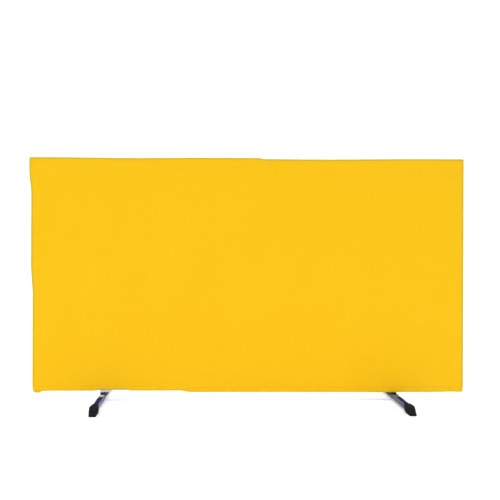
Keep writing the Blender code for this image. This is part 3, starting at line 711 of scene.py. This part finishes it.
def shoe_section(reach, inset):
    """Half a section, from the middle of the sole round to the middle of the crown, one row for each reach.

    The sole's corner is a quarter circle. The shoulder is a superellipse from 0.6 of the height to 0.4 of the
    width, and its power falls from 4 at the mouth to 2.2 at the nose. A low collar stands out at the mouth,
    and the grooves press into the sole. Near the mouth the sides are tucked in low down, and the sole rises.
    """
    reach, inset = reach[:, None], inset[:, None]
    collar = COLLAR * (1 - ramp(reach, COLLAR_LENGTH, COLLAR_LENGTH + COLLAR_EDGE))
    width = shoe_half_width(reach) - inset + collar
    height = shoe_height(reach) - inset + collar
    shoulder, crown = SHOULDER_SHARE * height, CROWN_SHARE * width
    power = 2 / eased(MOUTH_SQUARENESS, NOSE_SQUARENESS, reach / shoe_length)
    turn = np.linspace(-np.pi / 2, 0, ARC_STEPS + 1)
    flat = np.linspace(0, 1, FLAT_STEPS, endpoint=False)
    up = np.linspace(0, 1, SIDE_STEPS + 1)[1:-1]
    bend = np.linspace(0, np.pi / 2, SHOULDER_STEPS + 1)
    x = [
        (width - SOLE_ROUND) * flat,
        width - SOLE_ROUND + SOLE_ROUND * np.cos(turn),
        width + 0 * up,
        crown + (width - crown) * np.clip(np.cos(bend), 0, 1) ** power,
        crown * (1 - flat[1:]),
        0 * width,
    ]
    z = [
        inset + 0 * flat,
        inset + SOLE_ROUND + SOLE_ROUND * np.sin(turn),
        inset + SOLE_ROUND + (shoulder - inset - SOLE_ROUND) * up,
        shoulder + (height - shoulder) * np.sin(bend) ** power,
        height + 0 * flat[1:],
        height,
    ]
    x, z = np.concatenate(x, axis=1), np.concatenate(z, axis=1)
    in_groove = (np.abs(reach - GROOVES) < GROOVE_WIDTH / 2).any(axis=1, keepdims=True)
    tucked = TUCK * (1 - ramp(reach, *TUCK_FADE)) * (1 - ramp(z, 0.0, TUCK_HEIGHT))
    floor = np.maximum(GROOVE_DEPTH * in_groove, HEEL_RISE * (1 - ramp(reach, 0.0, HEEL_LENGTH)))
    return x * (1 - tucked / width), np.maximum(z, floor)


def socket_section(points):
    """Half of the socket's square section, with as many points as shoe_section gives."""
    floor, roof = arm_low[2] - SOCKET_FIT, arm_high[2] + SOCKET_FIT
    sole = FLAT_STEPS + ARC_STEPS
    top = FLAT_STEPS + SHOULDER_STEPS // 2
    side = points - sole - top
    across = np.linspace(0, socket_half, sole, endpoint=False)
    x = np.concatenate([across, np.full(side, socket_half), np.linspace(socket_half, 0, top)])
    z = np.concatenate([np.full(sole, floor), np.linspace(floor, roof, side), np.full(top, roof)])
    return x, z


print("grooves at", np.round(1000 * GROOVES, 1).tolist(), "mm from the mouth")

# %% Make the four shoes
LIP_ROUND = 0.0008
BESIDE_GROOVE = 0.00005
EVEN_RINGS, LIP_RINGS, NOSE_RINGS = 44, 3, 6
CREASE_ANGLE = math.radians(42)


def shoe_rings():
    """Distances from the mouth and insets of the outer sections, dense at the grooves, lip and nose."""
    edges = np.concatenate([GROOVES - GROOVE_WIDTH / 2, GROOVES + GROOVE_WIDTH / 2])
    even = np.linspace(LIP_ROUND, shoe_length - NOSE_ROUND, EVEN_RINGS)
    collar = COLLAR_LENGTH + COLLAR_EDGE * np.linspace(0, 1, 4)
    body = np.unique(np.concatenate([even, edges - BESIDE_GROOVE, edges + BESIDE_GROOVE, collar]))
    lip_turn = np.linspace(0, np.pi / 2, LIP_RINGS, endpoint=False)
    nose_turn = np.linspace(0, np.pi / 2, NOSE_RINGS + 1)[1:]
    nose = shoe_length - NOSE_ROUND * (1 - np.sin(nose_turn))
    reach = np.concatenate([LIP_ROUND * (1 - np.cos(lip_turn)), body, nose])
    lip_inset = LIP_ROUND * (1 - np.sin(lip_turn))
    return reach, np.concatenate([lip_inset, 0 * body, NOSE_ROUND * (1 - np.cos(nose_turn))])


def make_shoe(name, x, facing):
    """A shoe with its mouth towards the pivot. facing is -1 for the front and 1 for the rear."""
    reach, inset = shoe_rings()
    outer = shoe_section(reach, inset)
    inner = socket_section(outer[0].shape[1])
    half_x, half_z = [np.concatenate([[part, part], rows]) for part, rows in zip(inner, outer)]
    ring_x = np.concatenate([half_x, -half_x[:, -2:0:-1]], axis=1)
    ring_z = np.concatenate([half_z, half_z[:, -2:0:-1]], axis=1)
    ring_y = mouth_y + np.concatenate([[SOCKET_DEPTH, 0.0], reach])[:, None]
    shoe = closed_tube(name, as_points(x - facing * ring_x, facing * ring_y, ring_z))
    shoe.data.set_sharp_from_angle(angle=CREASE_ANGLE)
    return shoe


shoes = {}
for hand, x in (("left", -foot_x), ("right", foot_x)):
    for end, facing in (("front", -1), ("rear", 1)):
        node = f"{hand}_{end}_shoe"
        shoes[node] = (make_shoe(node + "_moulding", x, facing), hand + "_foot")
print(len(shoes), "shoes,", len(shoes["left_front_shoe"][0].data.polygons), "faces each")

# %% [markdown]
# ## Building blocks for the finishes
# A finish is a small network of nodes. What comes out of a node is wrapped up as a signal, and a sum of
# signals and numbers is written as a sum, such as tone * 0.2 + 0.5. The effects that several finishes share
# are node groups, built once and used with other numbers: the weave of a cloth, fine grain, patchy tone and
# rubbed edges. They give out masks and heights only, and the shader stays in the material itself.

# %% Signals and networks
def sums(operation, swapped=False):
    """The method behind a sign such as + or /, which adds a Math node, its two values swapped if asked."""
    def method(signal, other=0.0):
        pair = (other, signal) if swapped else (signal, other)
        return signal.network.maths(operation, *pair)
    return method


class Signal:
    """What comes out of one node of a network."""

    __add__ = __radd__ = sums("ADD")
    __mul__ = __rmul__ = sums("MULTIPLY")
    __sub__, __rsub__ = sums("SUBTRACT"), sums("SUBTRACT", swapped=True)
    __truediv__, __rtruediv__ = sums("DIVIDE"), sums("DIVIDE", swapped=True)
    __mod__ = sums("MODULO")
    __abs__ = sums("ABSOLUTE")

    def __init__(self, network, socket):
        self.network, self.socket = network, socket

    def between(self, low, high, to_low=0.0, to_high=1.0):
        """The signal mapped smoothly from low..high to to_low..to_high."""
        smooth = {"interpolation_type": "SMOOTHSTEP"}
        return self.network.node("MapRange", smooth, i0=self, i1=low, i2=high, i3=to_low, i4=to_high)

    def blend(self, first, second):
        """A colour between two. The signal is the share of the second."""
        return self.network.node("Mix", {"data_type": "RGBA"}, 2, i0=self, i6=first, i7=second)


class Network:
    """A node tree. Each call adds a node to it and gives back the signal that comes out."""

    def __init__(self, tree):
        self.tree = tree

    def feed(self, made, **inputs):
        """Set or connect inputs of a node, each by its name, or by an i and its number."""
        for name, value in inputs.items():
            slot = made.inputs[int(name[1:]) if name[1:].isdigit() else name.replace("_", " ")]
            if isinstance(value, Signal):
                self.tree.links.new(value.socket, slot)
            else:
                slot.default_value = (*value, 1.0) if slot.type == "RGBA" else value

    def node(self, kind, settings=None, output=0, **inputs):
        """A node of a kind, with settings of its own. output says which of its outputs is the signal."""
        made = self.tree.nodes.new("ShaderNode" + kind)
        for name, value in (settings or {}).items():
            setattr(made, name, value)
        self.feed(made, **inputs)
        return Signal(self, made.outputs[output])

    def maths(self, operation, *values):
        """The result of a Math node."""
        inputs = {f"i{place}": value for place, value in enumerate(values)}
        return self.node("Math", {"operation": operation}, **inputs)

    def split(self, vector):
        """The three parts of a vector."""
        made = self.node("SeparateXYZ", Vector=vector).socket.node
        return [Signal(self, socket) for socket in made.outputs]


print("signals and networks ready")


# %% Shared effects as node groups
def plain_weave(network, place, pitch):
    """Plain weave: warp and weft threads are half sine waves, and a chequer says which one lies on top."""
    u, v = [part / pitch for part in network.split(place)[:2]]
    over_u, over_v = [abs(network.maths("SINE", part * math.pi)) for part in (u, v)]
    chequer = abs((network.maths("FLOOR", u) + network.maths("FLOOR", v)) % 2.0)
    warp, weft = over_u * (over_v * 0.5 + 0.5), over_v * (over_u * 0.5 + 0.5)
    return network.node("Mix", i0=chequer, i2=warp, i3=weft)


def fine_grain(network, place, size):
    """Fine grain: noise at a size, with a second noise five times finer at a third of its height."""
    scale = 1.0 / size
    coarse = network.node("TexNoise", Vector=place, Scale=scale, Detail=2.0)
    fine = network.node("TexNoise", Vector=place, Scale=scale * 5.0, Detail=1.0)
    return fine * 0.33 + coarse


def patchy_tone(network, place, size, edge):
    """Patchy tone: noise at a size, sharpened into a mask. A larger edge makes it softer."""
    cloud = network.node("TexNoise", Vector=place, Scale=1.0 / size, Detail=4.0, Roughness=0.6)
    return cloud.between(0.5 - edge, 0.5 + edge)


def rubbed_edges(network, place, first, second, half, wear):
    """Rubbed edges of a square tube: a mask where both distances from its middle come near half its side."""
    nearest = network.maths("MINIMUM", abs(first) / half, abs(second) / half)
    cloud = network.node("TexNoise", Vector=place, Scale=90.0, Detail=5.0)
    return (cloud * wear + nearest).between(1.16, 1.26)


def make_group(effect, output, **inputs):
    """A node group of an effect, with the effect's inputs after its network, each given as name=default."""
    tree = bpy.data.node_groups.new(effect.__name__, "ShaderNodeTree")
    network = Network(tree)
    tree.interface.new_socket("Vector", in_out="INPUT", socket_type="NodeSocketVector")
    for name, default in inputs.items():
        made = tree.interface.new_socket(name, in_out="INPUT", socket_type="NodeSocketFloat")
        made.default_value = default
    tree.interface.new_socket(output, in_out="OUTPUT", socket_type="NodeSocketFloat")
    given = tree.nodes.new("NodeGroupInput").outputs
    result = effect(network, *[Signal(network, given[name]) for name in ("Vector", *inputs)])
    network.feed(tree.nodes.new("NodeGroupOutput"), **{output: result})
    return tree


WEAVE = make_group(plain_weave, "Height", Pitch=0.001)
GRAIN = make_group(fine_grain, "Height", Size=0.001)
PATCHES = make_group(patchy_tone, "Mask", Size=0.1, Edge=0.15)
EDGES = make_group(rubbed_edges, "Mask", First=0.0, Second=0.0, Half=tube_side / 2, Wear=0.5)
print("groups:", [group.name for group in (WEAVE, GRAIN, PATCHES, EDGES)])


# %% What every finish starts and ends with
class Finish(Network):
    """A material. Constants are set on its shader. place is where a point lies on its piece, in metres."""

    def __init__(self, name, **constants):
        self.material = bpy.data.materials.new(name)
        self.material.use_nodes = True
        super().__init__(self.material.node_tree)
        self.shader = self.tree.nodes["Principled BSDF"]
        self.feed(self.shader, **constants)
        self.place = self.node("TexCoord", output="Object")

    def use(self, group, **inputs):
        """What a node group gives at the place, or at another Vector if one is given."""
        return self.node("Group", {"node_tree": group}, **{"Vector": self.place, **inputs})

    def patches(self, size, edge):
        """A mask of soft patches."""
        return self.use(PATCHES, Size=size, Edge=edge)

    def bumps(self, height, distance, **under):
        """The normal of a surface that a height moves by up to a distance, on the Normal given under it."""
        return self.node("Bump", Height=height, Distance=distance, **under)

    def grainy(self, size, distance):
        """The normal of a grainy surface."""
        return self.bumps(self.use(GRAIN, Size=size), distance)

    def done(self, **inputs):
        """The material, once its shader is connected."""
        self.feed(self.shader, **inputs)
        return self.material


print("finish tools ready")

# %% [markdown]
# ## Cloth, thread and tape
# The sleeve is polyester cloth with a thin coat on its back, so it is even in colour, hardly shiny, and shows
# its weave only close by. The weave follows the cut cloth through the UV map, so it turns under the rail with
# the flap. The last few millimetres of each sheet and the seams are a duller, greener yellow, a painted shade
# along the edges. The thread is a shade deeper than the cloth. The tapes are black and furry.

# %% Cloth finish
CLOTH_YELLOW = (0.970, 0.562, 0.004)
CLOTH_DEEP = (0.930, 0.504, 0.002)
# Painted shade along the edges of the sheets and over the seams: a duller, greener yellow.
EDGE_SHADE_YELLOW = (0.740, 0.530, 0.006)
EDGE_SHADE_DEEP = (0.690, 0.470, 0.005)
EDGE_SHADE_FROM, EDGE_SHADE_TO = 0.0062, 0.0025
CLOTH_PITCH = 0.0009


def edge_shade_mask(finish, cut, side):
    """Painted edge shade: 1 at a sheet's edges and 0 inside, by least distance from the hem, the top and the
    sides.
    """
    across, up, _ = finish.split(cut)
    from_hem_or_top = finish.maths("MINIMUM", abs(up - flap_length[side]), cut_length[side] - up)
    nearest = finish.maths("MINIMUM", half_width - abs(across), from_hem_or_top)
    return nearest.between(EDGE_SHADE_TO, EDGE_SHADE_FROM, 1.0, 0.0)


def make_cloth(name, side=None, fresh=CLOTH_YELLOW, deep=CLOTH_DEEP):
    """Coated cloth: faint patches of tone, threads a little darker in the gaps, and a weave in the normal."""
    finish = Finish(name, Specular_IOR_Level=0.12, Sheen_Weight=0.03, Sheen_Roughness=0.45)
    cut = finish.node("UVMap", {"uv_map": "cut"})
    threads = finish.use(WEAVE, Vector=cut, Pitch=CLOTH_PITCH)
    tone, speck = finish.patches(0.22, 0.3), finish.patches(0.006, 0.3)
    gaps = threads.between(0.0, 0.5, 1.0, 0.0)
    colour = (gaps * 0.25 + (tone * 0.22 + speck * 0.08)).blend(fresh, deep)
    # Painted shade along the edges of a sheet.
    if side is not None:
        colour = edge_shade_mask(finish, cut, side).blend(colour, EDGE_SHADE_YELLOW)
    return finish.done(
        Base_Color=colour,
        Roughness=tone.between(0.0, 1.0, 0.58, 0.66),
        Normal=finish.bumps(threads, 0.00016, Normal=finish.grainy(0.004, 0.00008)),
    )


front_finish = make_cloth("front_cloth", -1)
back_finish = make_cloth("back_cloth", 1)
band_finish = make_cloth("band_cloth")
# The seams are coloured all over with the painted edge shade.
seam_finish = make_cloth("seam_cloth", fresh=EDGE_SHADE_YELLOW, deep=EDGE_SHADE_DEEP)
print("weave of", 1000 * CLOTH_PITCH, "mm")

# %% Thread and tape finishes
THREAD_LIGHT, THREAD_DARK = (0.94, 0.52, 0.012), (0.80, 0.40, 0.006)
PILE_DARK, PILE_LIGHT = (0.012, 0.012, 0.013), (0.05, 0.05, 0.052)


def make_thread():
    """Twisted polyester thread: stripes that run aslant round each stitch."""
    finish = Finish("sewing_thread", Roughness=0.5, Sheen_Weight=0.2)
    aslant = {"bands_direction": "DIAGONAL"}
    twist = finish.node("TexWave", aslant, "Fac", Vector=finish.place, Scale=900.0, Distortion=1.0)
    share = twist * 0.5 + finish.patches(0.01, 0.4) * 0.3
    return finish.done(Base_Color=share.blend(THREAD_LIGHT, THREAD_DARK), Normal=finish.bumps(twist, 0.00006))


def make_tape_finish():
    """Hook and loop tape: black, with a dense dull pile."""
    finish = Finish("pile_tape", Sheen_Weight=0.4, Sheen_Roughness=0.6)
    pile = finish.use(GRAIN, Size=0.0006)
    return finish.done(
        Base_Color=pile.blend(PILE_DARK, PILE_LIGHT),
        Roughness=pile.between(0.3, 0.9, 0.8, 0.98),
        Normal=finish.bumps(pile, 0.0003),
    )


thread_finish = make_thread()
tape_finish = make_tape_finish()
print("thread and tape finishes ready")

# %% [markdown]
# ## Painted steel
# The tubes are painted a cool grey. On the feet the colours are painted reflection and shade: the upper face
# is a deep navy and the sides are lighter, as they reflect dark and pale surroundings. Both are nearly black
# at the pivot, painted shade under the sleeve, then a band of painted light like the bright gap under the hem,
# then bluer. So each has a row of tones set at distances from the bolt, which run aslant on the sides as the
# reflections there do. A point is on the upper face where it lies further above the tube's middle than beside
# it. The underside has the sides' tones, but not aslant. The paint has a faint orange peel, and wears to steel
# along the edges.

# %% Tones of the paint
COOL_GREY = (0.130, 0.135, 0.185)
LIGHT_GREY = (0.215, 0.220, 0.300)
BARE_STEEL = (0.40, 0.41, 0.43)
# Painted shade under the sleeve, at the pivot of each foot and at the foot of the spacer.
PAINTED_PIVOT_SHADE = (0.007, 0.009, 0.018)
# A band of painted light either side of the pivot, like the bright gap under the hem.
PAINTED_LIGHT_BAND = (0.50, 0.56, 0.66)
# Painted shade by the shoe.
SHOE_SHADE = (0.006, 0.007, 0.030)
# Painted shade on the sides at the pivot.
PAINTED_SIDE_SHADE = (0.016, 0.022, 0.040)
# The rows below are painted reflection and shade along the feet, each tone as (metres from the bolt, colour).
LEFT_TOP = (
    (-0.136, SHOE_SHADE),
    (-0.100, (0.006, 0.012, 0.150)),
    (-0.066, (0.008, 0.016, 0.065)),
    (-0.049, (0.008, 0.018, 0.050)),
    (-0.042, PAINTED_LIGHT_BAND),
    (-0.024, PAINTED_LIGHT_BAND),
    (-0.018, PAINTED_PIVOT_SHADE),
    (0.014, PAINTED_PIVOT_SHADE),
    (0.020, PAINTED_LIGHT_BAND),
    (0.056, PAINTED_LIGHT_BAND),
    (0.066, (0.008, 0.016, 0.065)),
    (0.100, (0.006, 0.012, 0.150)),
    (0.136, SHOE_SHADE),
)
LEFT_SIDE = (
    (-0.250, (0.225, 0.280, 0.500)),
    (-0.150, (0.205, 0.255, 0.465)),
    (-0.120, (0.165, 0.205, 0.390)),
    (-0.080, (0.150, 0.195, 0.360)),
    (-0.050, (0.125, 0.165, 0.250)),
    (-0.024, (0.115, 0.155, 0.200)),
    (-0.017, PAINTED_SIDE_SHADE),
    (0.016, PAINTED_SIDE_SHADE),
    (0.022, PAINTED_LIGHT_BAND),
    (0.054, PAINTED_LIGHT_BAND),
    (0.066, (0.125, 0.165, 0.250)),
    (0.130, (0.165, 0.210, 0.440)),
)
RIGHT_TOP = (
    (-0.136, SHOE_SHADE),
    (-0.122, (0.004, 0.012, 0.110)),
    (-0.104, (0.004, 0.012, 0.120)),
    (-0.088, (0.001, 0.003, 0.085)),
    (-0.066, (0.003, 0.002, 0.075)),
    (-0.058, (0.004, 0.006, 0.065)),
    (-0.051, (0.150, 0.165, 0.230)),
    (-0.030, (0.140, 0.155, 0.220)),
    (-0.022, PAINTED_PIVOT_SHADE),
    (0.050, PAINTED_PIVOT_SHADE),
    (0.062, (0.004, 0.006, 0.065)),
    (0.104, (0.004, 0.012, 0.120)),
    (0.136, SHOE_SHADE),
)
RIGHT_SIDE = (
    (-0.250, (0.086, 0.116, 0.268)),
    (-0.168, (0.090, 0.121, 0.268)),
    (-0.132, (0.110, 0.132, 0.240)),
    (-0.102, (0.148, 0.160, 0.222)),
    (-0.052, (0.125, 0.140, 0.190)),
    (-0.030, (0.120, 0.136, 0.182)),
    (-0.022, PAINTED_SIDE_SHADE),
    (0.050, PAINTED_SIDE_SHADE),
    (0.062, (0.165, 0.185, 0.240)),
    (0.130, (0.120, 0.160, 0.340)),
)
print("tones of the feet, from", LEFT_SIDE[0][0], "to", LEFT_TOP[-1][0], "m from the bolt")

# %% Paint finishes
RUN_END = 0.28
SLANT = 4.0
FACE_EDGE = 0.0003
frame_tubes = ["top_rail", "bottom_rail", "left_upright", "right_upright"]


def along_run(run, tones):
    """Colour at a place along a foot: straight blends between tones, each as (metres from bolt, colour)."""
    colour = run.network.node("ValToRGB", i0=run * (0.5 / RUN_END) + 0.5)
    points = colour.socket.node.color_ramp.elements
    points.remove(points[1])
    points[0].position = 0.5 + 0.5 * tones[0][0] / RUN_END
    points[0].color = (*tones[0][1], 1.0)
    for place, tone in tones[1:]:
        points.new(0.5 + 0.5 * place / RUN_END).color = (*tone, 1.0)
    return colour


def make_paint(name, node, tones=None):
    """Paint on a square tube of the frame, whose middle and size across come from the tube.

    tones are the rows of painted reflection and shade of the upper face and of the sides along Y. Without them
    it is plain grey.
    """
    low, high = np.array(measured(node))
    middle, size = (low + high) / 2, high - low
    axes = [axis for axis in range(3) if axis != size.argmax()]
    half = float(size[axes[1]]) / 2
    finish = Finish(name, Specular_IOR_Level=0.04)
    parts = finish.split(finish.place)
    first, second = [parts[axis] - float(middle[axis]) for axis in axes]
    worn = finish.use(EDGES, First=first, Second=second, Half=half, Wear=0.42)
    patch = finish.patches(0.035, 0.25)
    colour = (patch * 0.6).blend(COOL_GREY, LIGHT_GREY)
    bare = worn * 0.75
    # On the feet the colour is painted reflection and shade: one row of tones on the upper face, one on the
    # sides.
    if tones is not None:
        aside = abs(first)
        on_top = (second - aside).between(-FACE_EDGE, FACE_EDGE)
        off_sole = (second + aside).between(-FACE_EDGE, FACE_EDGE)
        drift = patch * 0.004 + (parts[1] - 0.002)
        slanted = (second - half) * off_sole * SLANT + drift
        colour = on_top.blend(along_run(slanted, tones[1]), along_run(drift, tones[0]))
        bare = bare * abs(parts[1]).between(0.03, 0.06, 0.0, 0.4)
    return finish.done(
        Base_Color=bare.blend(colour, BARE_STEEL),
        Metallic=worn * 0.6,
        Roughness=patch.between(0.0, 1.0, 0.48, 0.60),
        Normal=finish.grainy(0.0018, 0.00005),
    )


paints = {
    "left_foot_arm": make_paint("left_foot_paint", "left_foot_arm", (LEFT_TOP, LEFT_SIDE)),
    "right_foot_arm": make_paint("right_foot_paint", "right_foot_arm", (RIGHT_TOP, RIGHT_SIDE)),
    **{tube: make_paint(tube + "_paint", tube) for tube in frame_tubes},
}
print(len(paints), "paint finishes")

# %% [markdown]
# ## Rubber, plastic and zinc
# Moulded rubber is black and dull. It picks up pale dust near the floor. Its crown has painted light, and its
# mouth painted shade, darker and bluer. The corner blocks are moulded plastic, yellow below, where they show
# as bumpers, and black above. The pivot's spacer is natural white nylon, its foot blackened by painted shade.
# The other small parts are zinc plated: bright, with fine turning marks in rings about the bolts.

# %% Rubber, plastic and zinc finishes
RUBBER, CROWN_LIGHT, MOUTH_SHADE = (0.0105, 0.0105, 0.0145), (0.014, 0.015, 0.028), (0.002, 0.002, 0.028)
DUST = (0.30, 0.29, 0.27)
NYLON, NYLON_DULL = (0.86, 0.85, 0.81), (0.80, 0.79, 0.74)
ZINC, ZINC_DULL = (0.66, 0.67, 0.66), (0.50, 0.51, 0.52)
SHADE_TOP = 0.0284
SHADE_EDGE = 0.0008


def make_rubber():
    """Moulded rubber: fine grain, dust low down, painted light on the crown, and painted shade, darker and
    bluer, at the mouth.
    """
    finish = Finish("moulded_rubber", Specular_IOR_Level=0.04)
    _, y, height = finish.split(finish.place)
    patch = finish.patches(0.012, 0.3)
    dust = height.between(0.0005, 0.006, 1.0, 0.0) * (patch * 0.10 + 0.02)
    # Painted light on the crown, where the light from above falls most.
    crown = height.between(0.012, 0.024) * 0.8
    # Painted shade at the mouth, darker and bluer.
    past_mouth = abs(y).between(mouth_y + 0.008, mouth_y + 0.024)
    skin = past_mouth.blend(MOUTH_SHADE, crown.blend(RUBBER, CROWN_LIGHT))
    return finish.done(
        Base_Color=dust.blend(skin, DUST),
        Roughness=patch.between(0.0, 1.0, 0.62, 0.78),
        Normal=finish.grainy(0.0011, 0.00012),
    )


def make_plastic(name, light, dark, roughness):
    """Moulded plastic: spark-eroded grain and a slight drift of tone."""
    finish = Finish(name)
    patch = finish.patches(0.015, 0.35)
    return finish.done(
        Base_Color=patch.blend(light, dark),
        Roughness=patch.between(0.0, 1.0, roughness - 0.05, roughness + 0.07),
        Normal=finish.grainy(0.0007, 0.00006),
    )


def make_nylon():
    """Natural white nylon spacer: clean above, its foot black with painted shade that creeps up unevenly."""
    finish = Finish("natural_nylon")
    patch = finish.patches(0.004, 0.35)
    height = patch * 0.0012 + finish.split(finish.place)[2]
    # Painted shade at the spacer's foot, under the sleeve.
    foot_shade = height.between(SHADE_TOP - SHADE_EDGE, SHADE_TOP + SHADE_EDGE, 1.0, 0.0)
    return finish.done(
        Base_Color=foot_shade.blend(patch.blend(NYLON, NYLON_DULL), PAINTED_PIVOT_SHADE),
        Roughness=foot_shade.between(0.0, 1.0, 0.42, 0.55),
        Normal=finish.grainy(0.0008, 0.00004),
    )


def make_zinc(name, centre_x):
    """Zinc plate: turning marks in rings about the bolt's axis, and cloudy spangle."""
    finish = Finish(name, Metallic=1.0)
    centred = finish.node("Mapping", Vector=finish.place, Location=(-centre_x, 0.0, 0.0))
    round_axis = {"wave_type": "RINGS", "rings_direction": "Z"}
    rings = finish.node("TexWave", round_axis, "Fac", Vector=centred, Scale=700.0, Distortion=1.5)
    patch = finish.patches(0.003, 0.3)
    return finish.done(
        Base_Color=patch.blend(ZINC, ZINC_DULL),
        Roughness=patch.between(0.0, 1.0, 0.24, 0.40),
        Normal=finish.bumps(rings, 0.00003),
    )


rubber_finish = make_rubber()
bumper_finish = make_plastic("yellow_bumper", (0.96, 0.545, 0.012), (0.88, 0.47, 0.009), 0.48)
corner_finish = make_plastic("black_corner", (0.022, 0.022, 0.024), (0.034, 0.034, 0.036), 0.5)
nylon_finish = make_nylon()
zinc_finishes = {"left": make_zinc("left_zinc", -foot_x), "right": make_zinc("right_zinc", foot_x)}
print("rubber, plastic and zinc finishes ready")

# %% [markdown]
# ## Put each finish on its piece
# The new soft pieces get their finishes directly. A piece of the frame keeps its mesh, and only its material
# slot is filled. Its name says what it is made of.

# %% Assign the finishes
for pieces, finish in (
    ([front_sheet], front_finish),
    ([back_sheet], back_finish),
    ([edge_band], band_finish),
    ([front_seam, back_seam], seam_finish),
    ([front_stitching, back_stitching], thread_finish),
    (tapes.values(), tape_finish),
    ([shoe for shoe, body in shoes.values()], rubber_finish),
):
    for piece in pieces:
        piece.data.materials.append(finish)


def finish_of(name):
    """The finish of a piece of the frame, from what it is."""
    if name in paints:
        return paints[name]
    if name.endswith("_corner"):
        return bumper_finish if name.startswith("bottom_") else corner_finish
    if name.endswith("_spacer"):
        return nylon_finish
    return zinc_finishes["left" if "left" in name else "right"]


soft_nodes = {"cover_front", "cover_back", "top_band", "left_side_band", "right_side_band", *tapes, *shoes}
for name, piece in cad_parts.items():
    if name not in soft_nodes:
        piece.data.materials.clear()
        piece.data.materials.append(finish_of(name))
print(len(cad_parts) - len(soft_nodes), "pieces of the frame dressed")

# %% [markdown]
# ## Ride and replace
# Each new piece rides on the body that carries it and stands in for the plain solid it replaces. The size each
# sheet of cloth was cut to is printed.

# %% Ride and replace
soft_pieces = [front_sheet, back_sheet, edge_band, front_seam, back_seam, front_stitching, back_stitching]
for piece in soft_pieces:
    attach(piece, "panel")
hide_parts("cover_front")
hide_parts("cover_back")
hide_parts("top_band", "left_side_band", "right_side_band")
for name, piece in tapes.items():
    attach(piece, "panel")
    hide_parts(name)
for name, (piece, body) in shoes.items():
    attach(piece, body)
    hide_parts(name)

for side, piece, seam, stitching, kind in (
    (-1, front_sheet, front_seam, front_stitching, "hook"),
    (1, back_sheet, back_seam, back_stitching, "loop"),
):
    print(piece.name, "cut to", round(2 * half_width, 3), "by", round(cut_length[side], 4), "m")

# %% [markdown]
# ## The studio
# The barrier stands on white paper, as in a catalogue picture. The paper curves up into a wall, so that no
# line shows behind the barrier. Six softboxes light it: a strong one above, weaker ones from the left, the
# right and behind, and two that wash the wall. The paper has a faint cool glow of its own, which clears the
# warm shade under the sleeve.

# %% Floor and backdrop
PAPER, PAPER_DULL = (0.935, 0.94, 0.96), (0.92, 0.925, 0.945)
PAPER_GLOW = (0.6, 0.75, 1.0)


def make_floor():
    """A wide sheet that runs back along the floor and rises on a quarter circle into a wall."""
    radius, back, front, height, half = 1.2, 3.2, -6.0, 5.0, 9.0
    turn = np.linspace(0, np.pi / 2, 25)
    bend = as_points(back + radius * np.sin(turn), radius * (1 - np.cos(turn)))
    profile = np.concatenate([[[front, 0.0]], bend, [[back + radius, height]]])
    points = as_points([-half, half], profile[:, :1], profile[:, 1:])
    return new_piece("studio_floor", points, grid_faces(len(profile), 2))


def make_floor_finish():
    """Matt white paper with the slightest drift of tone and a faint cool glow."""
    glow = {"Emission_Strength": 0.2, "Emission_Color": PAPER_GLOW}
    finish = Finish("studio_paper", Roughness=0.9, Specular_IOR_Level=0.1, **glow)
    return finish.done(Base_Color=finish.patches(1.5, 0.5).blend(PAPER, PAPER_DULL))


floor = make_floor()
floor.data.materials.append(make_floor_finish())
floor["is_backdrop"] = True
print("floor and wall ready")


# %% Lights
def add_light(name, place, aim, size, power):
    """An oblong area light at a place, turned to face a point."""
    data = bpy.data.lights.new(name, "AREA")
    data.shape = "RECTANGLE"
    data.size, data.size_y = size
    data.energy = power
    light = add_object(name, data)
    light.location = place
    east, north, up = np.subtract(aim, place)
    light.rotation_euler = (math.atan2(math.hypot(east, north), -up), 0, math.atan2(-east, north))


add_light("key_softbox", (-2.2, -4.2, 2.6), (0, 0, 0.4), (3.0, 2.4), 20)
add_light("fill_softbox", (3.0, -3.8, 1.8), (0, 0, 0.4), (3.0, 2.4), 8)
add_light("top_softbox", (0, -0.6, 4.2), (0, -0.4, 0), (5.0, 3.4), 144)
add_light("back_softbox", (0, 0.9, 3.4), (0, 0.3, 0), (4.0, 1.2), 16)
add_light("left_wall_wash", (-3.2, 1.2, 3.6), (-1.6, 4.4, 1.4), (2.4, 1.6), 36)
add_light("right_wall_wash", (3.2, 1.2, 3.6), (1.6, 4.4, 1.4), (2.4, 1.6), 36)
world = bpy.data.worlds.new("studio_air")
world.use_nodes = True
air = Network(world.node_tree)
air.feed(air.tree.nodes["Background"], Color=(1.0, 1.0, 1.0), Strength=0.50)
bpy.context.scene.world = world
print("six softboxes and the studio's own light")

# %% [markdown]
# ## The sizes
# The dressed barrier has to fill the same space as the frame. Both boxes are printed, one after the other.

# %% Print the sizes
seen_low, seen_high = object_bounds()
for label, box in (("frame", cad_high - cad_low), ("dressed", seen_high - seen_low)):
    print(label, [round(v, 4) for v in box])
